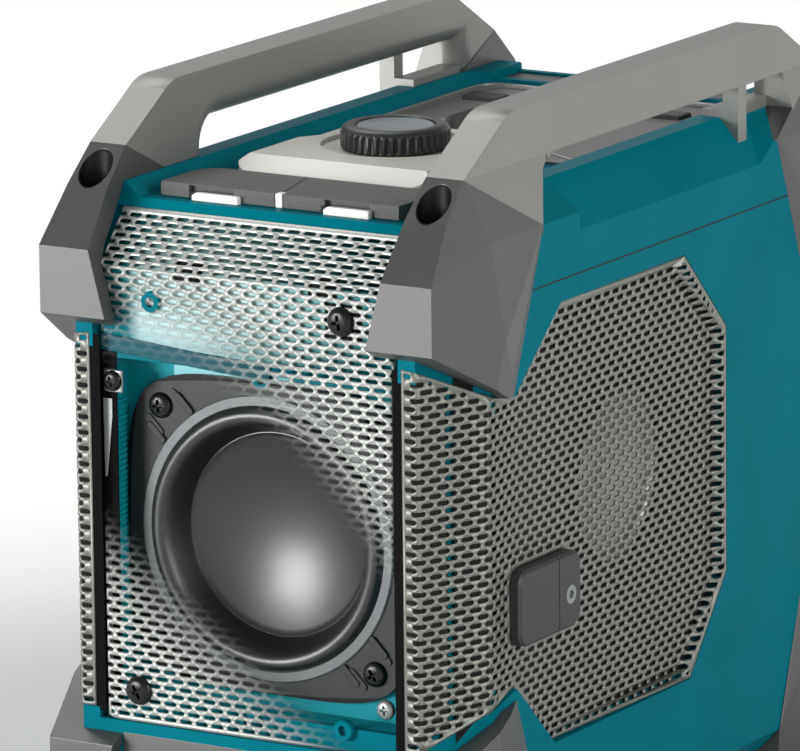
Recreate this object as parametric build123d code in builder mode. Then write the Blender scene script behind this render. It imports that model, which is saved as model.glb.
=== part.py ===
"""Jobsite radio: a moulded housing in a cage of corner bumpers and two bar handles.

Frame: millimetres, +Z up, X across, Y along the handles. The woofer end faces -Y and the
battery door faces +Y. The origin is on the floor, under the middle of the radio.
"""
import os
from math import atan2, cos, hypot, tan

from build123d import *

# ---------------------------------------------------------------- driving dimensions
# housing
side_half = 78.5                    # side wall, from the centre plane
crease_half = side_half - 13.0      # upright front edge of each end
crease_y = 143.0                    # the same edge, from the middle of the length
shoulder_y = crease_y - 26.5        # where the end chamfer meets the side wall
base_z = 9.0                        # underside of the housing
rim_z = 239.0                       # top of the side rims
seam_z = rim_z - 30.5               # parting line of the two mouldings
mirror_z = 124.0                    # middle height: the lower bumpers mirror the upper ones
wall = 3.0
side_wall = 6.0
end_low_z = 33.0                    # the end face starts here and leans back below it
end_fold_z = rim_z - 24.5           # the end face leans back above it
end_lean_y = 16.5                   # how far it leans back at the top
end_lean_z = 21.0                   # and over what height
rim_half = side_half - 14.0         # outer edge of the flat rim
rim_bevel = 2.0
shoulder_z = rim_z - 10.0           # upper edge of the side wall at the corners
scoop_low_z = rim_z - 16.0          # finger scoop: lower edge on the side wall
scoop_near_y = -57.0
scoop_far_y = 79.0
scoop_lean_y = 10.0                 # its far end leans towards the middle on the way down
scoop_flare = 10.0                  # and widens by this much up to the shoulder
bottom_chamfer = 9.0
# deck between the rims
deck_z = rim_z - 5.0
deck_half = rim_half - 13.0
deck_far_y = crease_y - 38.0
deck_corner = 10.0
deck_flare = 5.0                    # how far each side of the deck opens towards the rim
deck_edge_y = crease_y - 18.0       # top edge of each end
shelf_half = deck_half - 3.0        # the housing is lower between the display and the far edge
shelf_z = rim_z - 2.5
strip_near_y = deck_far_y + 3.0     # dark strip let into it
strip_far_y = deck_edge_y - 3.0
strip_depth = 2.5
strip_drop = 0.8
# end recess and grilles
recess = 3.0
recess_half = crease_half - 6.5
grille_low_z = 58.5
grille_top_y = crease_y - 16.0
grille_top_z = rim_z - 8.0
fit = 0.2                           # gap round a piece that drops into a recess
sheet = 1.2                         # grille sheet
window_half = recess_half - 3.0     # opening behind the end grille
window_low_z = mirror_z - window_half - 2.0
window_high_z = mirror_z + window_half + 2.0
slot_length = 14.0
slot_width = 4.4
slot_pitch = 19.0
slot_rise = 8.8
grille_border = 4.5
side_high_z = 201.0                 # side grille outline
side_low_z = 51.5
side_far_y = 44.5
side_top_far_y = 15.0
side_top_near_y = -70.0
side_shoulder_y = -101.0
side_notch_high_z = 175.0
side_notch_low_z = 76.0
side_notch_lean = 4.0
side_bottom_near_y = -76.0
side_bottom_far_y = 18.0
side_mid_high_z = 171.0
side_mid_low_z = 84.0
side_corner_low_z = 62.0
side_corner_high_z = 186.0
pan_depth = 2.8                     # the side grille lies this far inside the wall
pan_start_y = -94.0
side_window_border = 6.0
post_y = crease_y - 15.0            # the corner posts stand in front of this
# handles
handle_inner = side_half - 20.5
handle_width = 14.0
handle_top_z = rim_z + 29.0
handle_height = 18.0
handle_corner_y = 92.5
handle_crest_radius = 20.0
arch_near_y = -71.4                 # opening under the bar
arch_far_y = 97.0
arch_near_radius = 9.0
arch_far_radius = 12.0
grip_radius = 7.5                   # rounding of the inner edge of the grip
prop_near_y = 65.0                  # small prop that carries the far part of the bar
prop_far_y = 71.0
prop_inset = 6.0
ledge_top = 2.5                     # ledge on the rim between the prop and the far leg
ledge_width = 8.0
# bumpers
leg_front_y = crease_y - 21.0
leg_front_z = handle_top_z - 17.6
bumper_y = crease_y + 6.0
bumper_half = side_half + 6.0
bumper_fold_half = bumper_half - 9.0
bumper_ridge_y = bumper_y - 14.3
bumper_ridge_z = leg_front_z - 12.1
bumper_fold_z = leg_front_z - 30.5
bumper_skirt_z = leg_front_z - 53.4
bumper_brow_y = bumper_y - 32.0
bumper_tail_y = bumper_y - 36.5
bumper_tail_z = leg_front_z - 73.2
bumper_tail_half = side_half + 4.5
bumper_end_y = bumper_y - 47.5
bumper_end_z = leg_front_z - 74.8
bumper_back_y = bumper_y - 66.5
bumper_back_z = leg_front_z - 21.1
bumper_back_half = side_half + 0.5
bumper_inner_fold = handle_inner - 1.7
bumper_inner_low = handle_inner - 7.7
foot_near_y = bumper_y - 23.0
foot_far_y = bumper_y - 63.0
foot_half = side_half - 2.5
well_x = handle_inner + 7.2
well_y = bumper_y - 19.5
well_radius = 5.9
well_floor_z = leg_front_z - 22.4
well_boss = 2.5
bolt_radius = 2.5
bolt_head_radius = 4.6
bolt_head = 4.0
bolt_shank = 14.0
# sills between the lower bumpers
sill_half = crease_half - 15.5
sill_top_z = grille_low_z - 1.0
sill_low_z = 14.0
# port covers
cover_half = deck_half - 5.5
cover_near_y = -119.5
cover_far_y = -91.4
cover_top_z = rim_z
cover_lift = 0.25
cover_corner = 9.0
divider_half = 1.3
divider_depth = 3.0
split_drift = 5.0                   # the parting line of the covers drifts aside by this much
tab_near_x = cover_half - 28.5
tab_far_x = cover_half - 11.0
tab_half = (tab_far_x - tab_near_x) / 2
tab_depth = 2.0
port_x = cover_half - 20.0
port_y = (cover_near_y + cover_far_y) / 2 - 0.5
port_block_x = 30.0
port_block_y = 16.0
port_block_low_z = deck_z - 10.0
usb_width = 13.2
usb_height = 5.6
usb_depth = 8.0
aux_radius = 1.75
# control panel and knob
panel_half = deck_half - 13.5
panel_near_y = cover_far_y + 1.4
panel_far_y = -14.0
panel_top_z = rim_z + 4.0
panel_bevel = 3.4
panel_front_run = 8.0               # the front of the panel slopes up over this depth
panel_front_rise = 5.0
panel_corner = 9.0
panel_waist = 8.0                   # each side steps in by this much beside the knob
panel_waist_y = -56.0
dish_radius = 25.5
dish_depth = 1.5
knob_y = -44.4
knob_radius = 18.7
knob_top_z = panel_top_z + 7.0
knob_float = 0.3
knob_flutes = 40
flute_depth = 0.75
cap_radius = 13.4
cap_recess = 0.7
cap_thick = 1.2
shaft_radius = 3.0
shaft_play = 0.05
shaft_low_z = deck_z + 2.0
encoder_radius = 8.0
encoder_top_z = deck_z + 5.8
# display
display_half = deck_half - 0.3
display_near_y = panel_far_y + 0.3
display_far_y = deck_far_y - 1.0
display_floor_z = deck_z - 3.0
display_top_z = display_floor_z + 4.0
display_corner = deck_corner
screen_half = display_half - 4.0    # sunk eight-sided field round the lens and the keys
screen_near_y = 12.0
screen_far_y = 98.0
screen_corner_x = 6.0
screen_corner_y = 15.0
screen_sink = 0.6
display_skin = 1.6
lens_x = 2 * (display_half - 19.5)
lens_y = 42.0
lens_centre_y = 40.0
lens_thick = 1.2
lcd_border = 3.0
key_count = 5
key_pitch = 2 * (display_half - 5.5) / key_count
key_x = key_pitch - 4.0
key_y = 9.0
key_centre_y = 79.0
key_proud = 0.8
key_travel = 0.8
key_gap = 0.3
key_flange = 1.0
key_low_z = display_floor_z + 1.2
# woofer
woofer_z = mirror_z
woofer_ring_y = -crease_y + 13.5
woofer_flange = window_half - 2.0
woofer_flange_z = woofer_flange - 1.6
woofer_bulge = 4.5                  # the sides of the flange bow out by this much
woofer_flange_corner = 12.0
woofer_flange_thick = 3.0
woofer_radius = woofer_flange - 3.0
woofer_roll_outer = woofer_flange - 9.2
woofer_roll_crest = woofer_flange - 12.5
woofer_roll_inner = woofer_flange - 19.7
woofer_roll_rise = 3.2
woofer_roll_sink = 7.5
woofer_dish = 8.5
woofer_bolt_half = woofer_flange - 12.9
woofer_rib = 9.0
woofer_rib_wide = 3.0
woofer_rib_rise = 0.6
woofer_rib_side = 6.8               # from the screw to each rib
screw_radius = 2.0
screw_head_radius = 4.2
screw_head = 2.2
screw_length = 9.0
basket_depth = 34.0
basket_back_radius = 30.0
basket_wall = 1.6
magnet_radius = 38.0
magnet_thick = 18.0
baffle_thick = 3.0
baffle_low_z = 50.0
baffle_high_z = 204.0
tunnel_wall = 2.5
# side speakers
speaker_y = -24.0
speaker_z = 132.0
speaker_radius = 38.0
speaker_flange = 2.5
speaker_depth = 22.0
speaker_back_radius = 20.0
speaker_magnet_radius = 24.0
speaker_magnet_thick = 11.0
speaker_roll_inner = speaker_radius - 11.0
speaker_roll_rise = 3.0
speaker_cap = 9.0
speaker_dish = 5.5
cone_skin = 1.0                     # thickness of the cones and their surrounds
plate_thick = 2.5
plate_near_y = -108.0
plate_far_y = 46.0
plate_low_z = 50.0
plate_high_z = 203.0
# side power socket
socket_y = -89.0
socket_z = 103.0
socket_near_y = -103.0
socket_far_y = -62.0
socket_low_z = 90.0
socket_high_z = 116.0
socket_corner = 5.0
socket_proud = 1.0
socket_radius = 4.2
socket_depth = 14.0
cover_thick = 4.2
cover_split_y = -77.0
cover_screw_y = -69.0
cover_screw_z = 101.4
cover_screw_radius = 3.2
# battery bay
door_half = crease_half - 18.5
door_low_z = 64.0
door_high_z = 168.0
door_thick = 4.0
door_gap = 0.3
door_round = 2.0
door_pin_radius = 1.2
door_pin_length = 3.0
door_play = 0.05
door_rib = 2.0
door_rib_pitch = 8.0
door_rib_low = 20.0                 # the ribbed field ends this far from each end
door_rib_high = 40.0
bay_half = door_half - 4.0
bay_low_z = door_low_z + 7.0
bay_high_z = door_high_z - 9.0
bay_depth = 62.0
bay_wall = 2.5
catch_half = 14.0
catch_high = 9.0
catch_thick = 2.0
rail_half = 30.0
rail_wide = 5.0
rail_high = 4.0
terminal_half = 18.0
terminal_high = 20.0
blade_half = 0.6
blade_long = 12.0
# boards
board_thick = 1.6
main_board_half = crease_half - 17.5
main_board_near_y = -60.0
main_board_far_y = 60.0
board_post = 3.0
board_post_inset = 6.0

handle_outer = handle_inner + handle_width
handle_low_z = handle_top_z - handle_height
end_y = crease_y - recess
seat_y = end_y - sheet
side_inner = side_half - side_wall
pan_half = side_half - pan_depth
front_inner_y = seat_y - wall
lean = atan2(end_y - grille_top_y, grille_top_z - end_fold_z)
lean_back_y = crease_y - end_lean_y
lean_low_y = crease_y - end_lean_y * (end_low_z - base_z) / end_lean_z
corner_slope = (side_half - crease_half) / (crease_y - shoulder_y)
bumper_slope = (leg_front_z - bumper_back_z) / (leg_front_y - bumper_back_y)
far = 400.0                         # reach of a cut that leaves the part


def block(x0, x1, y0, y1, z0, z1):
    """A plain rectangular solid between two corners."""
    with BuildPart() as made:
        with BuildSketch(Plane.XY.offset(z0)):
            with Locations(((x0 + x1) / 2, (y0 + y1) / 2)):
                Rectangle(x1 - x0, y1 - y0)
        extrude(amount=z1 - z0)
    return made.part


def mirrored(points):
    """Points followed by their mirror images, as one closed outline."""
    return points + [(-a, b) for a, b in reversed(points)]


def prism_x(points, x0, x1, grow=0.0):
    """A prism along X of an outline given as (y, z) points."""
    with BuildPart() as made:
        with BuildSketch(Plane.YZ.offset(x0)):
            Polygon(*points, align=None)
            if grow:
                offset(amount=grow, kind=Kind.INTERSECTION, mode=Mode.REPLACE)
        extrude(amount=x1 - x0)
    return made.part


def prism_y(points, y0, y1):
    """A prism along Y of an outline given as (x, z) points."""
    with BuildPart() as made:
        with BuildSketch(Plane.XZ.offset(-y0)):
            Polygon(*points, align=None)
        extrude(amount=-(y1 - y0))
    return made.part


def prism_z(points, z0, z1, grow=0.0):
    """A prism along Z of an outline given as (x, y) points."""
    with BuildPart() as made:
        with BuildSketch(Plane.XY.offset(z0)):
            Polygon(*points, align=None)
            if grow:
                offset(amount=grow, kind=Kind.INTERSECTION, mode=Mode.REPLACE)
        extrude(amount=z1 - z0)
    return made.part


def display_outline(half, near, far_edge):
    """The plan of the display, with its far corners rounded, for the sketch in hand."""
    with BuildSketch(mode=Mode.PRIVATE) as plan:
        with Locations((0, (near + far_edge) / 2)):
            Rectangle(2 * half, far_edge - near)
        fillet(plan.vertices().group_by(Axis.Y)[-1], display_corner)
    add(plan.sketch)


def save(part, name):
    """Label the finished piece and write it under its own name."""
    part.label = name
    export_step(part, f"parts/{name}.step")


def save_pair(right, name):
    """Write a right-hand piece and its mirror image on the left."""
    save(right, name + "_right")
    save(mirror(right, about=Plane.YZ), name + "_left")


os.makedirs("parts", exist_ok=True)

# ---------------------------------------------------------------- housing form
plan_points = mirrored([(crease_half, -crease_y), (side_half, -shoulder_y),
                        (side_half, shoulder_y), (crease_half, crease_y)])
profile_points = mirrored([(-lean_low_y, base_z), (-crease_y, end_low_z),
                           (-crease_y, end_fold_z), (-lean_back_y, end_fold_z + end_lean_z),
                           (-lean_back_y + rim_bevel, rim_z)])
section_points = mirrored([(side_half - bottom_chamfer, base_z),
                           (side_half, base_z + bottom_chamfer), (side_half, shoulder_z),
                           (rim_half + rim_bevel, rim_z - rim_bevel), (rim_half, rim_z)])

# finger scoop under each handle, on the slope from the rim down to the side wall
scoop_run = side_half - rim_half - rim_bevel
scoop_drop = rim_z - rim_bevel - scoop_low_z
scoop_slope = hypot(scoop_run, scoop_drop)
scoop_plane = Plane(origin=(rim_half + rim_bevel, 0, rim_z - rim_bevel), x_dir=(0, 1, 0),
                    z_dir=(scoop_drop, 0, scoop_run))
with BuildPart() as scoop:
    for lift, flare in ((0, 0), (shoulder_z - scoop_low_z, scoop_flare)):
        with BuildSketch(scoop_plane.offset(lift)):
            Polygon((scoop_near_y, 0), (scoop_far_y + flare, 0),
                    (scoop_far_y - 2 * scoop_lean_y + flare, -2 * scoop_slope),
                    (scoop_near_y, -2 * scoop_slope), align=None)
    loft()

with BuildPart() as body_form:
    add(prism_z(plan_points, 0, rim_z))
    add(prism_x(profile_points, -side_half, side_half), mode=Mode.INTERSECT)
    add(prism_y(section_points, -crease_y, crease_y), mode=Mode.INTERSECT)
    add(scoop.part, mode=Mode.SUBTRACT)
    mirror(scoop.part, about=Plane.YZ, mode=Mode.SUBTRACT)

# hollow inside the walls
cavity_top_z = display_floor_z - wall
cavity_section = mirrored([(side_inner - bottom_chamfer, base_z + wall),
                           (side_inner, base_z + bottom_chamfer + wall),
                           (side_inner, scoop_low_z - wall),
                           (rim_half - wall, cavity_top_z)])
cavity_profile = mirrored([(-lean_low_y + wall, base_z + wall), (-front_inner_y, end_low_z + wall),
                           (-front_inner_y, end_fold_z - wall),
                           (-deck_edge_y + 2 * wall, cavity_top_z)])
with BuildPart() as cavity:
    add(prism_z(plan_points, base_z, rim_z, grow=-side_wall))
    add(prism_x(cavity_profile, -side_half, side_half), mode=Mode.INTERSECT)
    add(prism_y(cavity_section, -crease_y, crease_y), mode=Mode.INTERSECT)
    # bosses that take the bumper bolts
    with BuildSketch(Plane.XY.offset(seam_z)):
        with GridLocations(2 * well_x, 2 * well_y, 2, 2):
            Circle(well_radius + well_boss)
    extrude(amount=rim_z - seam_z, mode=Mode.SUBTRACT)

# ---------------------------------------------------------------- side grille
side_outline = [(-crease_y, side_corner_low_z), (-shoulder_y, side_notch_low_z - side_notch_lean),
                (side_shoulder_y, side_notch_low_z), (side_bottom_near_y, side_low_z),
                (side_bottom_far_y, side_low_z), (side_far_y, side_mid_low_z),
                (side_far_y, side_mid_high_z), (side_top_far_y, side_high_z),
                (side_top_near_y, side_high_z), (side_shoulder_y, side_notch_high_z),
                (-shoulder_y, side_notch_high_z + side_notch_lean),
                (-crease_y, side_corner_high_z)]
sheet_plan = [(0, -end_y), (recess_half, -end_y), (crease_half, -crease_y),
              (side_half, -shoulder_y), (pan_half, pan_start_y), (pan_half, crease_y),
              (0, crease_y)]
sheet_back = prism_z(sheet_plan, 0, rim_z, grow=-sheet)


def outline_sketch(grow):
    """The side grille outline on the middle plane, grown or shrunk."""
    with BuildSketch(Plane.YZ) as made:
        Polygon(*side_outline, align=None)
        offset(amount=grow, kind=Kind.INTERSECTION, mode=Mode.REPLACE)
    return made.sketch


def slot_centres(region, low, high, start, stop):
    """Centres of staggered slots that lie whole inside a region of a plane."""
    centres = []
    row = 0
    z = low + slot_rise / 2
    while z < high:
        a = start + (row % 2) * slot_pitch / 2
        while a < stop:
            corners = [(a + i * slot_length / 2, z + j * slot_width / 2)
                       for i in (-1, 1) for j in (-1, 1)]
            if all(region(b, c) for b, c in corners):
                centres.append((a, z))
            a += slot_pitch
        z += slot_rise
        row += 1
    return centres


border_face = outline_sketch(-grille_border).face()
side_centres = slot_centres(lambda y, z: border_face.is_inside(Vector(0, y, z)),
                            side_low_z, side_high_z, -seat_y + slot_length / 2, side_far_y)
with BuildPart() as side_grille:
    with BuildSketch():
        Polygon(*sheet_plan, align=None)
        offset(amount=-sheet, kind=Kind.INTERSECTION, mode=Mode.SUBTRACT)
        with Locations((recess_half + fit, -crease_y)):
            Rectangle(side_half, crease_y + side_far_y, mode=Mode.INTERSECT,
                      align=(Align.MIN, Align.MIN))
    extrude(amount=rim_z)
    extrude(outline_sketch(-fit), amount=side_half, mode=Mode.INTERSECT)
    with BuildSketch(Plane.YZ.offset(recess_half)):
        with Locations(*side_centres):
            Rectangle(slot_length, slot_width)
    extrude(amount=side_half, mode=Mode.SUBTRACT)
save(mirror(side_grille.part, about=Plane.YZ), "side_grille_left")
with BuildPart() as socket_grille:
    add(side_grille.part)
    with BuildSketch(Plane.YZ.offset(recess_half)):
        with Locations(((socket_near_y + socket_far_y) / 2, (socket_low_z + socket_high_z) / 2)):
            RectangleRounded(socket_far_y - socket_near_y, socket_high_z - socket_low_z,
                             socket_corner)
    extrude(amount=side_half, mode=Mode.SUBTRACT)
save(socket_grille.part, "side_grille_right")

# ---------------------------------------------------------------- end grille
grille_plan_half = recess_half - fit
grille_points = [(-end_y, grille_low_z - slot_rise), (-end_y, end_fold_z),
                 (-grille_top_y, grille_top_z), (-grille_top_y + slot_rise, grille_top_z),
                 (-grille_top_y + slot_rise, grille_low_z - slot_rise)]


def end_region(x, z):
    """Whether a point is on the slotted field of the end grille, off its fold."""
    inside = abs(x) < grille_plan_half - grille_border
    low = grille_low_z + grille_border < z < end_fold_z - 1
    return inside and (low or end_fold_z + 1 < z < grille_top_z - sheet)


end_centres = slot_centres(end_region, grille_low_z, grille_top_z,
                           -grille_plan_half + grille_border + slot_length / 2 + 1,
                           grille_plan_half)
with BuildPart() as end_grille:
    with BuildSketch(Plane.YZ.offset(-grille_plan_half)):
        Polygon(*grille_points, align=None)
        offset(amount=-sheet, kind=Kind.INTERSECTION, mode=Mode.SUBTRACT)
        with Locations((-end_y, grille_low_z + fit)):
            Rectangle(end_y - grille_top_y + sheet, grille_top_z - grille_low_z - 2 * fit - sheet,
                      mode=Mode.INTERSECT, align=(Align.MIN, Align.MIN))
    extrude(amount=2 * grille_plan_half)
    with BuildSketch(Plane.XZ.offset(grille_top_y - slot_rise)):
        with Locations(*end_centres):
            Rectangle(slot_length, slot_width)
    extrude(amount=crease_y, mode=Mode.SUBTRACT)
    edges_v = end_grille.edges().filter_by(Axis.Y).group_by(Axis.Z)[0]
    fillet(edges_v.group_by(Axis.X)[0] + edges_v.group_by(Axis.X)[-1], slot_rise)
save(end_grille.part, "end_grille")

# ---------------------------------------------------------------- handles
far_foot_z = bumper_back_z + (arch_far_y - bumper_back_y) * bumper_slope
foot_z = bumper_back_z - wall
handle_points = [(-leg_front_y, leg_front_z), (-handle_corner_y, handle_top_z),
                 (handle_corner_y, handle_top_z), (leg_front_y, leg_front_z),
                 (arch_far_y, far_foot_z), (arch_far_y, handle_low_z), (arch_near_y, handle_low_z),
                 (arch_near_y, foot_z), (-bumper_back_y, foot_z), (-bumper_back_y, bumper_back_z)]
handle_section = [(handle_inner, foot_z), (bumper_back_half, foot_z),
                  (bumper_back_half, bumper_back_z), (handle_outer, leg_front_z),
                  (handle_outer, handle_top_z), (handle_inner, handle_top_z)]
with BuildPart() as handle:
    with BuildSketch(Plane.YZ.offset(handle_inner)) as handle_side:
        Polygon(*handle_points, align=None)
        fillet(handle_side.vertices().group_by(Axis.Y)[-1], handle_crest_radius)
        corners = handle_side.vertices().filter_by_position(Axis.Y, handle_low_z - fit,
                                                            handle_low_z + fit)
        fillet(corners.sort_by(Axis.X)[0], arch_near_radius)
        fillet(corners.sort_by(Axis.X)[-1], arch_far_radius)
    extrude(amount=bumper_back_half - handle_inner)
    grip = handle.faces().sort_by(Axis.X)[0].edges().filter_by_position(
        Axis.Y, arch_near_y - fit, arch_far_y + fit).filter_by_position(
        Axis.Z, far_foot_z, handle_low_z + fit)
    fillet(grip, grip_radius)
    add(prism_y(handle_section, -crease_y, crease_y), mode=Mode.INTERSECT)
    # prop and ledge in front of the far leg
    add(block(handle_outer - prop_inset, handle_outer, prop_near_y, prop_far_y, foot_z,
              handle_low_z))
    add(block(handle_inner, handle_inner + ledge_width, prop_near_y, arch_far_y,
              rim_z - rim_bevel, rim_z + ledge_top))
    add(body_form.part, mode=Mode.SUBTRACT)
save_pair(handle.part, "handle")

# ---------------------------------------------------------------- bumpers
bumper_plan = [(bumper_inner_low, -bumper_y), (bumper_fold_half, -bumper_y),
               (bumper_half, -bumper_brow_y), (bumper_back_half, -bumper_back_y),
               (bumper_back_half, arch_near_y), (bumper_inner_low, arch_near_y)]
bumper_side = [(-leg_front_y, leg_front_z), (-bumper_ridge_y, bumper_ridge_z),
               (-bumper_y, bumper_fold_z), (-bumper_y, bumper_skirt_z),
               (-bumper_tail_y, bumper_tail_z), (-bumper_end_y, bumper_end_z),
               (-bumper_back_y + wall, bumper_back_z)]
bumper_section = [(handle_inner, leg_front_z), (handle_outer, leg_front_z),
                  (bumper_back_half, bumper_back_z), (bumper_half, bumper_skirt_z),
                  (bumper_tail_half, bumper_tail_z), (bumper_tail_half, bumper_end_z),
                  (bumper_inner_low, bumper_end_z), (bumper_inner_low, bumper_skirt_z),
                  (bumper_inner_fold, bumper_fold_z)]
# the back of each bumper is cut off at a slant, from its outer edge to the side wall
heel = Vector(bumper_tail_half, -bumper_tail_y, bumper_tail_z)
heel_top = Vector(bumper_back_half, -bumper_back_y, bumper_back_z)
heel_wall = Vector(side_half, -bumper_end_y, bumper_end_z)
heel_plane = Plane(origin=heel, x_dir=heel_top - heel,
                   z_dir=(heel_wall - heel).cross(heel_top - heel))
with BuildPart() as heel_cut:
    with BuildSketch(heel_plane):
        Rectangle(far, far)
    extrude(amount=far)
with BuildPart() as bumper_form:
    add(prism_z(bumper_plan, base_z, handle_top_z))
    add(prism_x(bumper_side, bumper_inner_low, bumper_half), mode=Mode.INTERSECT)
    add(prism_y(bumper_section, -bumper_y, 0), mode=Mode.INTERSECT)
    add(heel_cut.part, mode=Mode.SUBTRACT)
    add(body_form.part, mode=Mode.SUBTRACT)
    with BuildSketch(Plane.XY.offset(well_floor_z)):
        with Locations((well_x, -well_y)):
            Circle(well_radius)
    extrude(amount=handle_top_z - well_floor_z, mode=Mode.SUBTRACT)
with BuildPart() as bumper_near:
    add(bumper_form.part)
    add(handle.part, mode=Mode.SUBTRACT)
with BuildPart() as bumper_far:
    mirror(bumper_form.part, about=Plane.XZ)
    add(handle.part, mode=Mode.SUBTRACT)
save_pair(bumper_near.part, "bumper_top_near")
save_pair(bumper_far.part, "bumper_top_far")


def flip(points):
    """An outline mirrored about the middle height of the cage, bottom up."""
    return [(a, 2 * mirror_z - b) for a, b in points]


foot_side = flip(bumper_side[1:6]) + [(-bumper_back_y, base_z + bottom_chamfer),
                                      (-foot_far_y, 0), (-foot_near_y, 0)]
foot_section = [(handle_inner, 0), (foot_half, 0)] + flip(bumper_section[2:])
with BuildPart() as bumper_low:
    add(prism_z(bumper_plan, 0, mirror_z))
    add(prism_x(foot_side, bumper_inner_low, bumper_half), mode=Mode.INTERSECT)
    add(prism_y(foot_section, -bumper_y, 0), mode=Mode.INTERSECT)
    mirror(heel_cut.part, about=Plane.XY.offset(mirror_z), mode=Mode.SUBTRACT)
    add(body_form.part, mode=Mode.SUBTRACT)
save_pair(bumper_low.part, "bumper_low_near")
save_pair(mirror(bumper_low.part, about=Plane.XZ), "bumper_low_far")

# bolts that hold the upper bumpers, on the floors of their wells
with BuildPart() as bolts:
    for start, radius, height in ((well_floor_z, bolt_head_radius, bolt_head),
                                  (well_floor_z - bolt_shank, bolt_radius, bolt_shank)):
        with BuildSketch(Plane.XY.offset(start)):
            with GridLocations(2 * well_x, 2 * well_y, 2, 2):
                Circle(radius)
        extrude(amount=height)
    with BuildSketch(Plane.XY.offset(well_floor_z + bolt_head)):
        with GridLocations(2 * well_x, 2 * well_y, 2, 2):
            RegularPolygon(bolt_radius, 6)
    extrude(amount=-bolt_head / 2, mode=Mode.SUBTRACT)
save(bolts.part, "bumper_bolts")

# ---------------------------------------------------------------- sills
sill_low_y = crease_y - end_lean_y * (end_low_z - sill_low_z) / end_lean_z
sill_points = [(-end_y, sill_top_z), (-crease_y, sill_top_z - recess), (-crease_y, end_low_z),
               (-sill_low_y, sill_low_z), (-sill_low_y + recess, sill_low_z),
               (-end_y, end_low_z)]
with BuildPart() as sill:
    add(prism_x(sill_points, -sill_half, sill_half))
save(sill.part, "sill_near")
save(mirror(sill.part, about=Plane.XZ), "sill_far")

# ---------------------------------------------------------------- housing
near_recess = [(-crease_y - recess, grille_low_z), (-seat_y, grille_low_z),
               (-seat_y, end_fold_z - sheet * tan(lean / 2)),
               (-grille_top_y + sheet / cos(lean), grille_top_z), (-grille_top_y, grille_top_z),
               (-deck_edge_y, deck_z), (-deck_edge_y, rim_z + recess),
               (-crease_y - recess, rim_z + recess)]
far_recess = [(crease_y + recess, grille_low_z), (end_y, grille_low_z), (end_y, end_fold_z),
              (grille_top_y, grille_top_z), (deck_edge_y, deck_z),
              (deck_edge_y, rim_z + recess), (crease_y + recess, rim_z + recess)]
far_flare = [(recess_half, end_y), (crease_half, crease_y), (recess_half, crease_y)]
deck_section = mirrored([(deck_half, deck_z), (deck_half + deck_flare, rim_z),
                         (deck_half + deck_flare, rim_z + recess)])
with BuildPart() as side_recess:
    extrude(outline_sketch(0), amount=side_half + recess)
    add(block(0, recess_half, -far, far, 0, far), mode=Mode.SUBTRACT)
    add(sheet_back, mode=Mode.SUBTRACT)
with BuildPart() as side_window:
    extrude(outline_sketch(-side_window_border), amount=side_half + recess)
    add(block(0, recess_half, -far, far, 0, far), mode=Mode.SUBTRACT)
    add(block(0, far, -far, -post_y, 0, far), mode=Mode.SUBTRACT)

door_hinge_y = end_y - door_round
door_hinge_z = door_low_z + door_round
door_back_y = end_y - door_thick
catch_y = door_back_y + (door_thick - catch_thick) / 2
key_xs = [key_pitch * (i - (key_count - 1) / 2) for i in range(key_count)]

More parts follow.
